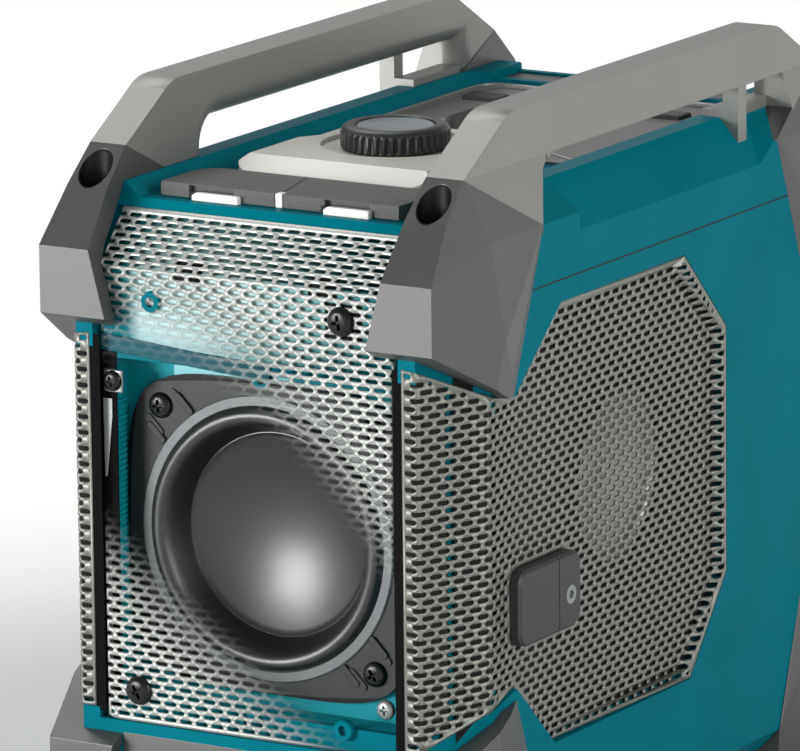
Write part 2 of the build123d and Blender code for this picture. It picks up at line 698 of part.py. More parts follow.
with BuildPart() as deck_cut:
    add(prism_y(deck_section, -far, deck_far_y))
    corners = deck_cut.faces().sort_by(Axis.Y)[-1].edges()
    fillet(corners.filter_by(Axis.X, reverse=True).filter_by(Axis.Z, reverse=True), deck_corner)
with BuildPart() as housing:
    add(body_form.part)
    add(cavity.part, mode=Mode.SUBTRACT)
    add(prism_x(near_recess, -recess_half, recess_half), mode=Mode.SUBTRACT)
    add(prism_x(far_recess, -recess_half, recess_half), mode=Mode.SUBTRACT)
    add(deck_cut.part, mode=Mode.SUBTRACT)
    # the display is sunk into the deck, and the far edge behind it is lower
    with BuildSketch(Plane.XY.offset(display_floor_z)) as display_plan:
        display_outline(display_half + fit, display_near_y, display_far_y + fit)
    extrude(amount=deck_z - display_floor_z, mode=Mode.SUBTRACT)
    add(block(-shelf_half, shelf_half, deck_far_y - deck_flare, far, shelf_z, far),
        mode=Mode.SUBTRACT)
    for flare in (prism_z(far_flare, grille_low_z, end_fold_z), side_recess.part,
                  side_window.part):
        add(flare, mode=Mode.SUBTRACT)
        mirror(flare, about=Plane.YZ, mode=Mode.SUBTRACT)
    # window behind the end grille
    add(block(-window_half, window_half, -crease_y, -front_inner_y + wall, window_low_z,
              window_high_z), mode=Mode.SUBTRACT)
    # seats of the sills
    add(sill.part, mode=Mode.SUBTRACT)
    mirror(sill.part, about=Plane.XZ, mode=Mode.SUBTRACT)
    # wells and holes of the bumper bolts
    with BuildSketch(Plane.XY.offset(well_floor_z)):
        with GridLocations(2 * well_x, 2 * well_y, 2, 2):
            Circle(well_radius)
    extrude(amount=rim_z - well_floor_z, mode=Mode.SUBTRACT)
    add(bolts.part, mode=Mode.SUBTRACT)
    # seat of the dark strip behind the display
    add(block(-shelf_half, shelf_half, strip_near_y, strip_far_y, shelf_z - strip_depth, far),
        mode=Mode.SUBTRACT)
    # openings of the sockets under the port covers
    with BuildSketch(Plane.XY.offset(cavity_top_z - wall)):
        with Locations((port_x, port_y), (-port_x, port_y)):
            Rectangle(port_block_x, port_block_y)
    extrude(amount=deck_z - cavity_top_z + 2 * wall, mode=Mode.SUBTRACT)
    # battery door: recess, catch groove, pin holes and bay opening
    add(block(-door_half - door_gap, door_half + door_gap, door_back_y - door_gap, crease_y,
              door_low_z - door_gap, door_high_z + door_gap), mode=Mode.SUBTRACT)
    add(block(-catch_half - door_gap, catch_half + door_gap, catch_y - door_gap,
              end_y + recess, door_high_z, door_high_z + catch_high), mode=Mode.SUBTRACT)
    with BuildSketch(Plane.YZ.offset(-door_half - door_pin_length - door_gap)):
        with Locations((door_hinge_y, door_hinge_z)):
            Circle(door_pin_radius + door_play)
    extrude(amount=2 * (door_half + door_pin_length + door_gap), mode=Mode.SUBTRACT)
    add(block(-bay_half, bay_half, front_inner_y - 2 * wall, crease_y, bay_low_z, bay_high_z),
        mode=Mode.SUBTRACT)
with BuildPart() as lower_housing:
    add(housing.part)
    add(block(-far, far, -far, far, seam_z, far), mode=Mode.SUBTRACT)
with BuildPart() as upper_housing:
    add(housing.part)
    add(block(-far, far, -far, far, -far, seam_z), mode=Mode.SUBTRACT)
save(lower_housing.part, "lower_housing")
save(upper_housing.part, "upper_housing")

# ---------------------------------------------------------------- woofer and its baffle
woofer_axis = Axis((0, 0, woofer_z), (0, 1, 0))
woofer_centre = Plane.XZ.offset(-woofer_ring_y)
bolt_places = [(sx * woofer_bolt_half, woofer_z + sz * woofer_bolt_half)
               for sx in (-1, 1) for sz in (-1, 1)]
baffle_y = woofer_ring_y + woofer_flange_thick
baffle_half = (crease_half + corner_slope * (crease_y + baffle_y)
               - side_wall * hypot(1, corner_slope) - fit)
plate_x = side_inner - plate_thick


def disc_y(radius, y0, y1, x=0.0, z=0.0):
    """A disc along Y between two depths."""
    with BuildPart() as made:
        with BuildSketch(Plane.XZ.offset(-y0)):
            with Locations((x, z)):
                Circle(radius)
        extrude(amount=-(y1 - y0))
    return made.part


def disc_z(radius, z0, z1, x=0.0, y=0.0):
    """A disc along Z between two heights."""
    with BuildPart() as made:
        with BuildSketch(Plane.XY.offset(z0)):
            with Locations((x, y)):
                Circle(radius)
        extrude(amount=z1 - z0)
    return made.part


with BuildPart() as end_baffle:
    add(block(-baffle_half, baffle_half, baffle_y, baffle_y + baffle_thick, baffle_low_z,
              baffle_high_z))
    # tunnel from the window to the baffle, and its bosses
    with BuildSketch(Plane.XZ.offset(-baffle_y)):
        with Locations((0, (window_low_z + window_high_z) / 2)):
            Rectangle(2 * (window_half + tunnel_wall), window_high_z - window_low_z
                      + 2 * tunnel_wall)
            Rectangle(2 * window_half, window_high_z - window_low_z, mode=Mode.SUBTRACT)
        with Locations((0, (window_low_z + window_high_z) / 2)):
            with GridLocations(2 * (window_half + board_post), window_high_z - window_low_z
                               + board_post, 2, 2):
                Circle(board_post)
    extrude(amount=front_inner_y + baffle_y)
    add(disc_y(woofer_radius - basket_wall, baffle_y, baffle_y + baffle_thick, 0, woofer_z),
        mode=Mode.SUBTRACT)
    for x, z in bolt_places:
        add(disc_y(screw_radius, baffle_y, baffle_y + baffle_thick, x, z), mode=Mode.SUBTRACT)
save(end_baffle.part, "end_baffle")

basket_back_y = woofer_ring_y + basket_depth
basket_inner = woofer_radius - 2 * basket_wall
corner_x = woofer_flange - woofer_bulge
corner_z = woofer_flange_z - woofer_bulge
with BuildPart() as woofer_basket:
    with BuildSketch(woofer_centre) as flange:
        with BuildLine():
            for side in (1, -1):
                ThreePointArc((-side * corner_x, woofer_z + side * corner_z),
                              (0, woofer_z + side * woofer_flange_z),
                              (side * corner_x, woofer_z + side * corner_z))
                ThreePointArc((side * corner_x, woofer_z + side * corner_z),
                              (side * woofer_flange, woofer_z),
                              (side * corner_x, woofer_z - side * corner_z))
        make_face()
        fillet(flange.vertices(), woofer_flange_corner)
        with Locations((0, woofer_z)):
            Circle(basket_inner, mode=Mode.SUBTRACT)
    extrude(amount=-woofer_flange_thick)
    # pairs of raised ribs beside the screws
    with BuildSketch(woofer_centre):
        with Locations((0, woofer_z)):
            with PolarLocations(hypot(woofer_bolt_half, woofer_bolt_half), 4, start_angle=45):
                with Locations((-woofer_rib_wide, woofer_rib_side),
                               (-woofer_rib_wide, -woofer_rib_side)):
                    SlotOverall(woofer_rib, woofer_rib_wide)
    extrude(amount=woofer_rib_rise)
    for x, z in bolt_places:
        add(disc_y(screw_radius, woofer_ring_y, baffle_y, x, z), mode=Mode.SUBTRACT)
    with BuildSketch(Plane.XY.offset(woofer_z)):
        Polygon((basket_inner, woofer_ring_y), (basket_inner, baffle_y + baffle_thick),
                (basket_back_radius, basket_back_y - 2 * basket_wall),
                (0, basket_back_y - 2 * basket_wall), (0, basket_back_y),
                (basket_back_radius + basket_wall, basket_back_y),
                (basket_inner + basket_wall, baffle_y + baffle_thick),
                (basket_inner + basket_wall, woofer_ring_y), align=None)
    revolve(axis=woofer_axis)
save(woofer_basket.part, "woofer_basket")

dish_y = woofer_ring_y + woofer_roll_sink
with BuildPart() as woofer_cone:
    with BuildSketch(Plane.XY.offset(woofer_z)):
        with BuildLine():
            TangentArc((0, dish_y + woofer_dish), (woofer_roll_inner, dish_y), tangent=(1, 0))
            ThreePointArc((woofer_roll_inner, dish_y),
                          (woofer_roll_crest, woofer_ring_y - woofer_roll_rise),
                          (woofer_roll_outer, woofer_ring_y + cone_skin))
            Polyline((woofer_roll_outer, woofer_ring_y + cone_skin),
                     (basket_inner, woofer_ring_y + cone_skin),
                     (basket_inner, woofer_ring_y + 3 * cone_skin),
                     (woofer_roll_inner, dish_y + 2 * cone_skin))
            TangentArc((0, dish_y + woofer_dish + 2 * cone_skin),
                       (woofer_roll_inner, dish_y + 2 * cone_skin), tangent=(1, 0))
            Line((0, dish_y + woofer_dish + 2 * cone_skin), (0, dish_y + woofer_dish))
        make_face()
    revolve(axis=woofer_axis)
save(woofer_cone.part, "woofer_cone")
save(disc_y(magnet_radius, basket_back_y, basket_back_y + magnet_thick, 0, woofer_z),
     "woofer_magnet")

with BuildPart() as woofer_screws:
    for x, z in bolt_places:
        add(disc_y(screw_head_radius, woofer_ring_y - screw_head, woofer_ring_y, x, z))
        add(disc_y(screw_radius, woofer_ring_y, woofer_ring_y + screw_length, x, z))
        with BuildSketch(Plane.XZ.offset(-woofer_ring_y + screw_head)):
            with Locations((x, z)):
                RegularPolygon(screw_radius, 6)
        extrude(amount=-screw_head / 2, mode=Mode.SUBTRACT)
save(woofer_screws.part, "woofer_screws")

# ---------------------------------------------------------------- side speakers
speaker_axis = Axis((0, speaker_y, speaker_z), (1, 0, 0))
speaker_place = (speaker_y, speaker_z)
with BuildPart() as side_plate:
    add(block(plate_x, side_inner, plate_near_y, plate_far_y, plate_low_z, plate_high_z))
    with BuildSketch(Plane.YZ.offset(plate_x)):
        with Locations(speaker_place):
            Circle(speaker_radius - speaker_flange)
    extrude(amount=plate_thick, mode=Mode.SUBTRACT)
save(mirror(side_plate.part, about=Plane.YZ), "speaker_plate_left")
with BuildPart() as socket_plate:
    add(side_plate.part)
    with BuildSketch(Plane.YZ.offset(plate_x)):
        with Locations((socket_y, socket_z)):
            Circle(socket_radius + basket_wall)
    extrude(amount=plate_thick, mode=Mode.SUBTRACT)
save(socket_plate.part, "speaker_plate_right")

ring_x = plate_x
back_x = ring_x - speaker_depth
rim_r = speaker_radius - speaker_flange
with BuildPart() as side_speaker:
    with BuildSketch(Plane.XY.offset(speaker_z)):
        Polygon((ring_x, speaker_y + rim_r - basket_wall), (ring_x, speaker_y + speaker_radius),
                (ring_x - speaker_flange, speaker_y + speaker_radius),
                (ring_x - speaker_flange, speaker_y + rim_r),
                (back_x, speaker_y + speaker_back_radius + basket_wall),
                (back_x, speaker_y), (back_x + basket_wall, speaker_y),
                (back_x + basket_wall, speaker_y + speaker_back_radius),
                (ring_x - speaker_flange, speaker_y + rim_r - basket_wall), align=None)
    revolve(axis=speaker_axis)
    with BuildSketch(Plane.YZ.offset(back_x)):
        with Locations(speaker_place):
            Circle(speaker_magnet_radius)
    extrude(amount=-speaker_magnet_thick)
save_pair(side_speaker.part, "side_speaker")

cone_edge = rim_r - basket_wall
cone_x = ring_x - cone_skin
with BuildPart() as side_cone:
    with BuildSketch(Plane.XY.offset(speaker_z)):
        with BuildLine():
            ThreePointArc((cone_x, speaker_y + speaker_roll_inner),
                          (cone_x + speaker_roll_rise,
                           speaker_y + (speaker_roll_inner + cone_edge) / 2),
                          (cone_x, speaker_y + cone_edge))
            Polyline((cone_x, speaker_y + cone_edge), (cone_x - cone_skin, speaker_y + cone_edge),
                     (cone_x - cone_skin, speaker_y + speaker_roll_inner),
                     (cone_x - speaker_dish - 2 * cone_skin, speaker_y + speaker_cap),
                     (cone_x - speaker_dish - 2 * cone_skin, speaker_y),
                     (cone_x - speaker_dish + cone_skin, speaker_y),
                     (cone_x - speaker_dish, speaker_y + speaker_cap),
                     (cone_x, speaker_y + speaker_roll_inner))
        make_face()
    revolve(axis=speaker_axis)
save_pair(side_cone.part, "side_cone")

# ---------------------------------------------------------------- side power socket
with BuildPart() as power_socket:
    with BuildSketch(Plane.YZ.offset(side_inner)):
        with Locations(((socket_near_y + socket_far_y) / 2, (socket_low_z + socket_high_z) / 2)):
            RectangleRounded(socket_far_y - socket_near_y - 2 * fit,
                             socket_high_z - socket_low_z - 2 * fit, socket_corner - fit)
    extrude(amount=pan_half + socket_proud - side_inner)
    with BuildSketch(Plane.YZ.offset(pan_half + socket_proud)):
        with Locations((socket_y, socket_z)):
            Circle(socket_radius + basket_wall)
    extrude(amount=-socket_depth)
    with BuildSketch(Plane.YZ.offset(pan_half + socket_proud)):
        with Locations((socket_y, socket_z)):
            Circle(socket_radius)
    extrude(amount=basket_wall - socket_depth, mode=Mode.SUBTRACT)
    with BuildSketch(Plane.YZ.offset(side_inner)):
        with Locations((cover_screw_y, cover_screw_z)):
            Circle(cover_screw_radius / 2)
    extrude(amount=socket_depth, mode=Mode.SUBTRACT)
save(power_socket.part, "power_socket")

cover_x = pan_half + socket_proud + cover_lift
with BuildPart() as cover_blank:
    with BuildSketch(Plane.YZ.offset(cover_x)):
        with Locations(((socket_near_y + socket_far_y) / 2, (socket_low_z + socket_high_z) / 2)):
            RectangleRounded(socket_far_y - socket_near_y, socket_high_z - socket_low_z,
                             socket_corner)
    extrude(amount=cover_thick)
    chamfer(cover_blank.faces().sort_by(Axis.X)[-1].edges(), cover_thick / 4)
with BuildPart() as power_cover:
    add(cover_blank.part)
    add(block(0, far, cover_split_y - fit, far, 0, far), mode=Mode.SUBTRACT)
save(power_cover.part, "power_cover")
with BuildPart() as cover_screw:
    with BuildSketch(Plane.YZ.offset(cover_x + cover_thick / 2)):
        with Locations((cover_screw_y, cover_screw_z)):
            Circle(cover_screw_radius)
    extrude(amount=cover_thick / 2)
    with BuildSketch(Plane.YZ.offset(cover_x + cover_thick)):
        with Locations((cover_screw_y, cover_screw_z)):
            RegularPolygon(cover_screw_radius / 2, 6)
    extrude(amount=-cover_thick / 4, mode=Mode.SUBTRACT)
    with BuildSketch(Plane.YZ.offset(side_inner)):
        with Locations((cover_screw_y, cover_screw_z)):
            Circle(cover_screw_radius / 2)
    extrude(amount=cover_x + cover_thick / 2 - side_inner)
save(cover_screw.part, "cover_screw")
with BuildPart() as cover_strap:
    add(cover_blank.part)
    add(block(0, far, -far, cover_split_y + fit, 0, far), mode=Mode.SUBTRACT)
    with BuildSketch(Plane.YZ.offset(cover_x)):
        with Locations((cover_screw_y, cover_screw_z)):
            Circle(cover_screw_radius / 2)
    extrude(amount=cover_thick, mode=Mode.SUBTRACT)
    with BuildSketch(Plane.YZ.offset(cover_x + cover_thick / 2)):
        with Locations((cover_screw_y, cover_screw_z)):
            Circle(cover_screw_radius)
    extrude(amount=cover_thick, mode=Mode.SUBTRACT)
save(cover_strap.part, "cover_strap")

# ---------------------------------------------------------------- port covers and sockets
def left_of_split(gap):
    """All that lies left of the parting line between the covers, which is moved by the gap."""
    start = (gap, cover_near_y)
    end = (gap - split_drift, cover_far_y)
    with BuildPart() as made:
        with BuildSketch(Plane.XY.offset(deck_z)):
            with BuildLine():
                Spline(start, end, tangents=((0, 1), (0, 1)))
                Polyline(end, (-far, cover_far_y), (-far, cover_near_y), start)
            make_face()
        extrude(amount=far)
    return made.part


with BuildPart() as cover_slab:
    add(block(-cover_half, cover_half, cover_near_y, cover_far_y, deck_z + cover_lift,
              cover_top_z))
    fillet(cover_slab.edges().filter_by(Axis.Z).group_by(Axis.Y)[-1], cover_corner)
    add(block(-divider_half - 2 * fit, divider_half + 2 * fit, cover_near_y,
              cover_near_y + divider_depth + fit, deck_z, cover_top_z), mode=Mode.SUBTRACT)
    for side in (-1, 1):
        tab_x = side * (tab_near_x + tab_far_x) / 2
        add(block(tab_x - tab_half, tab_x + tab_half, cover_near_y, cover_near_y + tab_depth,
                  deck_z, cover_top_z - 2 * fit), mode=Mode.SUBTRACT)
with BuildPart() as cover_right:
    add(cover_slab.part)
    add(left_of_split(fit), mode=Mode.SUBTRACT)
    chamfer(cover_right.faces().sort_by(Axis.Z)[-1].edges(), fit)
save(cover_right.part, "port_cover_right")
with BuildPart() as cover_left:
    add(cover_slab.part)
    add(left_of_split(-fit), mode=Mode.INTERSECT)
    chamfer(cover_left.faces().sort_by(Axis.Z)[-1].edges(), fit)
save(cover_left.part, "port_cover_left")
with BuildPart() as cover_tab:
    add(block(tab_near_x, tab_far_x, cover_near_y, cover_near_y + tab_depth, deck_z + cover_lift,
              cover_top_z - 2 * fit))
save_pair(cover_tab.part, "cover_tab")
save(block(-divider_half, divider_half, cover_near_y - fit, cover_near_y + divider_depth,
           deck_z, cover_top_z), "port_divider")

with BuildPart() as usb_block:
    add(block(port_x - port_block_x / 2, port_x + port_block_x / 2, port_y - port_block_y / 2,
              port_y + port_block_y / 2, port_block_low_z, deck_z))
    add(block(port_x - usb_width / 2, port_x + usb_width / 2, port_y - usb_height / 2,
              port_y + usb_height / 2, deck_z - usb_depth, deck_z), mode=Mode.SUBTRACT)
save(usb_block.part, "usb_socket")
with BuildPart() as aux_block:
    add(block(-port_x - port_block_x / 2, -port_x + port_block_x / 2, port_y - port_block_y / 2,
              port_y + port_block_y / 2, port_block_low_z, deck_z))
    add(disc_z(aux_radius, port_block_low_z + basket_wall, deck_z, -port_x, port_y),
        mode=Mode.SUBTRACT)
save(aux_block.part, "audio_socket")

# ---------------------------------------------------------------- control panel and knob
dish_z = panel_top_z - dish_depth
knob_base_z = dish_z + knob_float
panel_plan = mirrored([(panel_half, panel_near_y), (panel_half, panel_waist_y),
                       (panel_half - panel_waist, panel_waist_y + 1.5 * panel_waist),
                       (panel_half - panel_waist, panel_far_y)])
panel_side = [(panel_near_y, deck_z), (panel_near_y, panel_top_z - panel_front_rise),
              (panel_near_y + panel_front_run, panel_top_z), (panel_far_y, panel_top_z),
              (panel_far_y, deck_z)]
panel_section = mirrored([(panel_half, deck_z), (panel_half, panel_top_z - panel_bevel),
                          (panel_half - panel_bevel, panel_top_z)])
with BuildPart() as control_panel:
    add(prism_z(panel_plan, deck_z, panel_top_z))
    fillet(control_panel.edges().filter_by(Axis.Z).group_by(Axis.Y)[0], panel_corner)
    add(prism_x(panel_side, -panel_half, panel_half), mode=Mode.INTERSECT)
    add(prism_y(panel_section, panel_near_y, panel_far_y), mode=Mode.INTERSECT)
    add(disc_z(dish_radius, dish_z, panel_top_z, 0, knob_y), mode=Mode.SUBTRACT)
    add(disc_z(encoder_radius, deck_z, encoder_top_z, 0, knob_y), mode=Mode.SUBTRACT)
    add(disc_z(shaft_radius + fit, encoder_top_z, dish_z, 0, knob_y), mode=Mode.SUBTRACT)
save(control_panel.part, "control_panel")
with BuildPart() as encoder:
    add(disc_z(encoder_radius, deck_z, encoder_top_z, 0, knob_y))
    add(disc_z(shaft_radius + shaft_play, shaft_low_z, encoder_top_z, 0, knob_y),
        mode=Mode.SUBTRACT)
save(encoder.part, "encoder")
with BuildPart() as knob:
    add(disc_z(knob_radius, knob_base_z, knob_top_z, 0, knob_y))
    chamfer(knob.edges().group_by(Axis.Z)[-1], 2 * flute_depth)
    with BuildSketch(Plane.XY.offset(knob_base_z)):
        with Locations((0, knob_y)):
            with PolarLocations(knob_radius, knob_flutes):
                Rectangle(2 * flute_depth, 2 * flute_depth)
    extrude(amount=knob_top_z - knob_base_z - 3 * flute_depth, mode=Mode.SUBTRACT)
    add(disc_z(shaft_radius, shaft_low_z + fit, knob_base_z, 0, knob_y))
    add(disc_z(cap_radius, knob_top_z - cap_recess - cap_thick, knob_top_z, 0, knob_y),
        mode=Mode.SUBTRACT)
save(knob.part, "knob")
save(disc_z(cap_radius, knob_top_z - cap_recess - cap_thick, knob_top_z - cap_recess, 0, knob_y),
     "knob_cap")

# ---------------------------------------------------------------- display and keys
save(block(-shelf_half + fit, shelf_half - fit, strip_near_y + fit, strip_far_y - fit,
           shelf_z - strip_depth, shelf_z - strip_drop), "deck_strip")
skin_z = display_top_z - display_skin
screen_z = display_top_z - screen_sink
screen_plan = mirrored([(screen_half - screen_corner_x, screen_near_y),
                        (screen_half, screen_near_y + screen_corner_y),
                        (screen_half, screen_far_y - screen_corner_y),
                        (screen_half - screen_corner_x, screen_far_y)])
with BuildPart() as display_bezel:
    with BuildSketch(Plane.XY.offset(display_floor_z)):
        display_outline(display_half, display_near_y, display_far_y)
    extrude(amount=display_top_z - display_floor_z)
    add(prism_z(screen_plan, screen_z, display_top_z), mode=Mode.SUBTRACT)
    add(block(-lens_x / 2, lens_x / 2, lens_centre_y - lens_y / 2, lens_centre_y + lens_y / 2,
              screen_z - lens_thick, display_top_z), mode=Mode.SUBTRACT)
    add(block(-lens_x / 2 + lcd_border, lens_x / 2 - lcd_border,
              lens_centre_y - lens_y / 2 + lcd_border, lens_centre_y + lens_y / 2 - lcd_border,
              display_floor_z, display_top_z), mode=Mode.SUBTRACT)
    with BuildSketch(Plane.XY.offset(display_floor_z)):
        with Locations(*[(x, key_centre_y) for x in key_xs]):
            Rectangle(key_x + 2 * key_gap, key_y + 2 * key_gap)
    extrude(amount=display_top_z - display_floor_z, mode=Mode.SUBTRACT)
    with BuildSketch(Plane.XY.offset(display_floor_z)):
        with Locations((0, key_centre_y)):
            Rectangle(key_pitch * key_count, key_y + 4 * key_flange + 2 * key_gap)
    extrude(amount=skin_z - display_floor_z, mode=Mode.SUBTRACT)
save(display_bezel.part, "display_bezel")
save(block(-lens_x / 2, lens_x / 2, lens_centre_y - lens_y / 2, lens_centre_y + lens_y / 2,
           screen_z - lens_thick, screen_z), "display_lens")
save(block(-lens_x / 2 + lcd_border, lens_x / 2 - lcd_border,
           lens_centre_y - lens_y / 2 + lcd_border, lens_centre_y + lens_y / 2 - lcd_border,
           display_floor_z, screen_z - lens_thick), "lcd_module")
for i, x in enumerate(key_xs):
    with BuildPart() as key:
        add(block(x - key_x / 2, x + key_x / 2, key_centre_y - key_y / 2,
                  key_centre_y + key_y / 2, key_low_z, display_top_z + key_proud))
        chamfer(key.faces().sort_by(Axis.Z)[-1].edges(), key_proud / 2)
        add(block(x - key_x / 2 - key_flange, x + key_x / 2 + key_flange,
                  key_centre_y - key_y / 2 - key_flange, key_centre_y + key_y / 2 + key_flange,
                  key_low_z, skin_z - key_gap))
    save(key.part, f"key_{i + 1}")

# ---------------------------------------------------------------- battery bay and door
with BuildPart() as battery_tub:
    add(block(-bay_half - bay_wall, bay_half + bay_wall, front_inner_y - bay_depth,
              front_inner_y, bay_low_z - bay_wall, bay_high_z + bay_wall))
    add(block(-bay_half, bay_half, front_inner_y - bay_depth + bay_wall, front_inner_y,
              bay_low_z, bay_high_z), mode=Mode.SUBTRACT)
    for x in (-rail_half, rail_half - rail_wide):
        add(block(x, x + rail_wide, front_inner_y - bay_depth + bay_wall, front_inner_y,
                  bay_low_z, bay_low_z + rail_high))
save(battery_tub.part, "battery_tub")
tub_floor_y = front_inner_y - bay_depth + bay_wall
with BuildPart() as battery_terminal:
    add(block(-terminal_half, terminal_half, tub_floor_y, tub_floor_y + blade_long / 2,
              bay_low_z, bay_low_z + terminal_high))
    for x in (-terminal_half / 2, terminal_half / 2):
        add(block(x - blade_half, x + blade_half, tub_floor_y, tub_floor_y + blade_long,
                  bay_low_z + rail_high, bay_low_z + terminal_high - rail_high))
save(battery_terminal.part, "battery_terminal")

with BuildPart() as battery_door:
    add(block(-door_half, door_half, door_back_y, end_y, door_hinge_z, door_high_z))
    with BuildSketch(Plane.YZ.offset(-door_half)):
        with Locations((door_hinge_y, door_hinge_z)):
            Circle(door_round)
    extrude(amount=2 * door_half)
    with BuildSketch(Plane.YZ.offset(-door_half - door_pin_length)):
        with Locations((door_hinge_y, door_hinge_z)):
            Circle(door_pin_radius)
    extrude(amount=2 * (door_half + door_pin_length))
    for i in range(-4, 5):
        x = i * door_rib_pitch
        add(block(x - door_rib / 2, x + door_rib / 2, end_y - door_rib / 2, end_y,
                  door_low_z + door_rib_low, door_high_z - door_rib_high), mode=Mode.SUBTRACT)
save(battery_door.part, "battery_door")
catch_top_z = door_high_z + catch_high - 2 * door_gap
with BuildPart() as door_catch:
    add(block(-catch_half, catch_half, catch_y, catch_y + catch_thick, door_high_z,
              catch_top_z))
    add(block(-catch_half, catch_half, catch_y + catch_thick, end_y,
              catch_top_z - catch_thick, catch_top_z))
save(door_catch.part, "door_catch")

# ---------------------------------------------------------------- boards
board_z = base_z + wall + 2 * board_post
with BuildPart() as amplifier_board:
    add(block(-main_board_half, main_board_half, main_board_near_y, main_board_far_y,
              board_z, board_z + board_thick))
    for x in (-main_board_half + board_post_inset, main_board_half - board_post_inset):
        for y in (main_board_near_y + board_post_inset, main_board_far_y - board_post_inset):
            add(disc_z(board_post, base_z + wall, board_z, x, y))
save(amplifier_board.part, "amplifier_board")
with BuildPart() as control_board:
    add(block(-main_board_half, main_board_half, main_board_near_y, main_board_far_y,
              cavity_top_z - 2 * board_post - board_thick, cavity_top_z - 2 * board_post))
    for x in (-main_board_half + board_post_inset, main_board_half - board_post_inset):
        for y in (main_board_near_y + board_post_inset, main_board_far_y - board_post_inset):
            add(disc_z(board_post, cavity_top_z - 2 * board_post, cavity_top_z, x, y))
save(control_board.part, "control_board")
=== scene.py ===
"""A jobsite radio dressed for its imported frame: +Z up, metres, woofer end towards -Y."""
from math import atan2, copysign, cos, degrees, hypot, inf, pi, radians, sin

import bmesh
import bpy
from mathutils import Matrix, Vector
from mathutils.geometry import delaunay_2d_cdt


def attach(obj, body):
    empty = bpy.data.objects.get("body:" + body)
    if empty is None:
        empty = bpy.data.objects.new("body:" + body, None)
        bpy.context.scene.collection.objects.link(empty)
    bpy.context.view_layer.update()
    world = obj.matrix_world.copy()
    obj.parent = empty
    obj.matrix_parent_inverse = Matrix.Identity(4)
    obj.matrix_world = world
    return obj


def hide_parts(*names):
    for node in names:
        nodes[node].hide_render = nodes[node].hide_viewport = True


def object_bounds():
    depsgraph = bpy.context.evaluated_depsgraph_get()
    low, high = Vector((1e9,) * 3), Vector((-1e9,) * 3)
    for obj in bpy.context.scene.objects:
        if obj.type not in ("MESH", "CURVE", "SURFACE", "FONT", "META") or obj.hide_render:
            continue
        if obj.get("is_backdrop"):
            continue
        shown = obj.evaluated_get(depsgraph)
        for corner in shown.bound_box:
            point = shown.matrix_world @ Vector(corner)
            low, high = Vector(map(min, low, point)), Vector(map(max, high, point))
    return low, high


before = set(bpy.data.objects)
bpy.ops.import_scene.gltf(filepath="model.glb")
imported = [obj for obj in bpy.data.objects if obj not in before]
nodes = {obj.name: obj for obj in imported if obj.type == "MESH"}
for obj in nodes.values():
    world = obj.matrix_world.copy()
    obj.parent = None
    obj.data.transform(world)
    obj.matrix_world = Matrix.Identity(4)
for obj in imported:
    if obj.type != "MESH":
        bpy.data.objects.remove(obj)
cad_low, cad_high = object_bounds()

# Camera: a long lens, so that the radio is seen with almost no convergence, from its
# front right corner and a little above.
def new_object(name, data):
    """An object with its data, linked to the scene."""
    made = bpy.data.objects.new(name, data)
    bpy.context.scene.collection.objects.link(made)
    return made


focal_pixels, frame_pixels = 7661.0, 800.0
camera_data = bpy.data.cameras.new("camera")
camera_data.sensor_width = 36.0
camera_data.lens = focal_pixels / frame_pixels * camera_data.sensor_width
camera_data.clip_end = 50.0
camera = new_object("camera", camera_data)
azimuth, elevation, roll = radians(30.97), radians(12.73), radians(-0.64)
camera.matrix_world = (Matrix.Translation((1.30569, -2.21887, 0.73556))
                       @ Matrix.Rotation(azimuth, 4, "Z")
                       @ Matrix.Rotation(pi / 2 - elevation, 4, "X")
                       @ Matrix.Rotation(roll, 4, "Z"))
bpy.context.scene.camera = camera
bpy.context.scene.view_settings.view_transform = "Standard"


# Studio: a pale sweep of painted board under soft boxes. Its far part is self lit for the
# camera and for reflections, which gives a white background, and the part near the radio
# takes the shadow.
MM = 0.001


def linear(colour):
    """An sRGB hex colour as linear RGBA."""
    parts = [int(colour[i:i + 2], 16) / 255 for i in (1, 3, 5)]
    return tuple(p / 12.92 if p <= 0.04045 else ((p + 0.055) / 1.055) ** 2.4
                 for p in parts) + (1.0,)


def add_node(tree, kind, settings=None, inputs=None, stops=()):
    """Adds a node and sets its properties, sockets and colour stops. Where a socket is set
    to another socket, or to a node, which stands for its first output, it is linked."""
    made = tree.nodes.new("ShaderNode" + kind)
    for key, value in (settings or {}).items():
        setattr(made, key, value)
    for key, value in (inputs or {}).items():
        if isinstance(value, bpy.types.Node):
            value = value.outputs[0]
        if isinstance(value, bpy.types.NodeSocket):
            tree.links.new(value, made.inputs[key])
        else:
            made.inputs[key].default_value = value
    if stops:
        elements = made.color_ramp.elements
        while len(elements) < len(stops):
            elements.new(0.5)
        for element, (position, colour) in zip(elements, stops):
            element.position, element.color = position, colour
    return made


def new_material(name):
    """An empty material with its node tree and output."""
    made = bpy.data.materials.new(name)
    made.use_nodes = True
    made.node_tree.nodes.clear()
    output = made.node_tree.nodes.new("ShaderNodeOutputMaterial")
    return made, made.node_tree, output.inputs["Surface"]


def mesh_object(name, verts, faces, material, smooth=None):
    """A mesh object in metres from points in millimetres."""
    mesh = bpy.data.meshes.new(name)
    mesh.from_pydata([tuple(c * MM for c in v) for v in verts], [], faces)
    mesh.validate()
    mesh.update()
    mesh.materials.append(material)
    made = new_object(name, mesh)
    if smooth is not None:
        mesh.shade_smooth()
        mesh.set_sharp_from_angle(angle=radians(smooth))
    return made


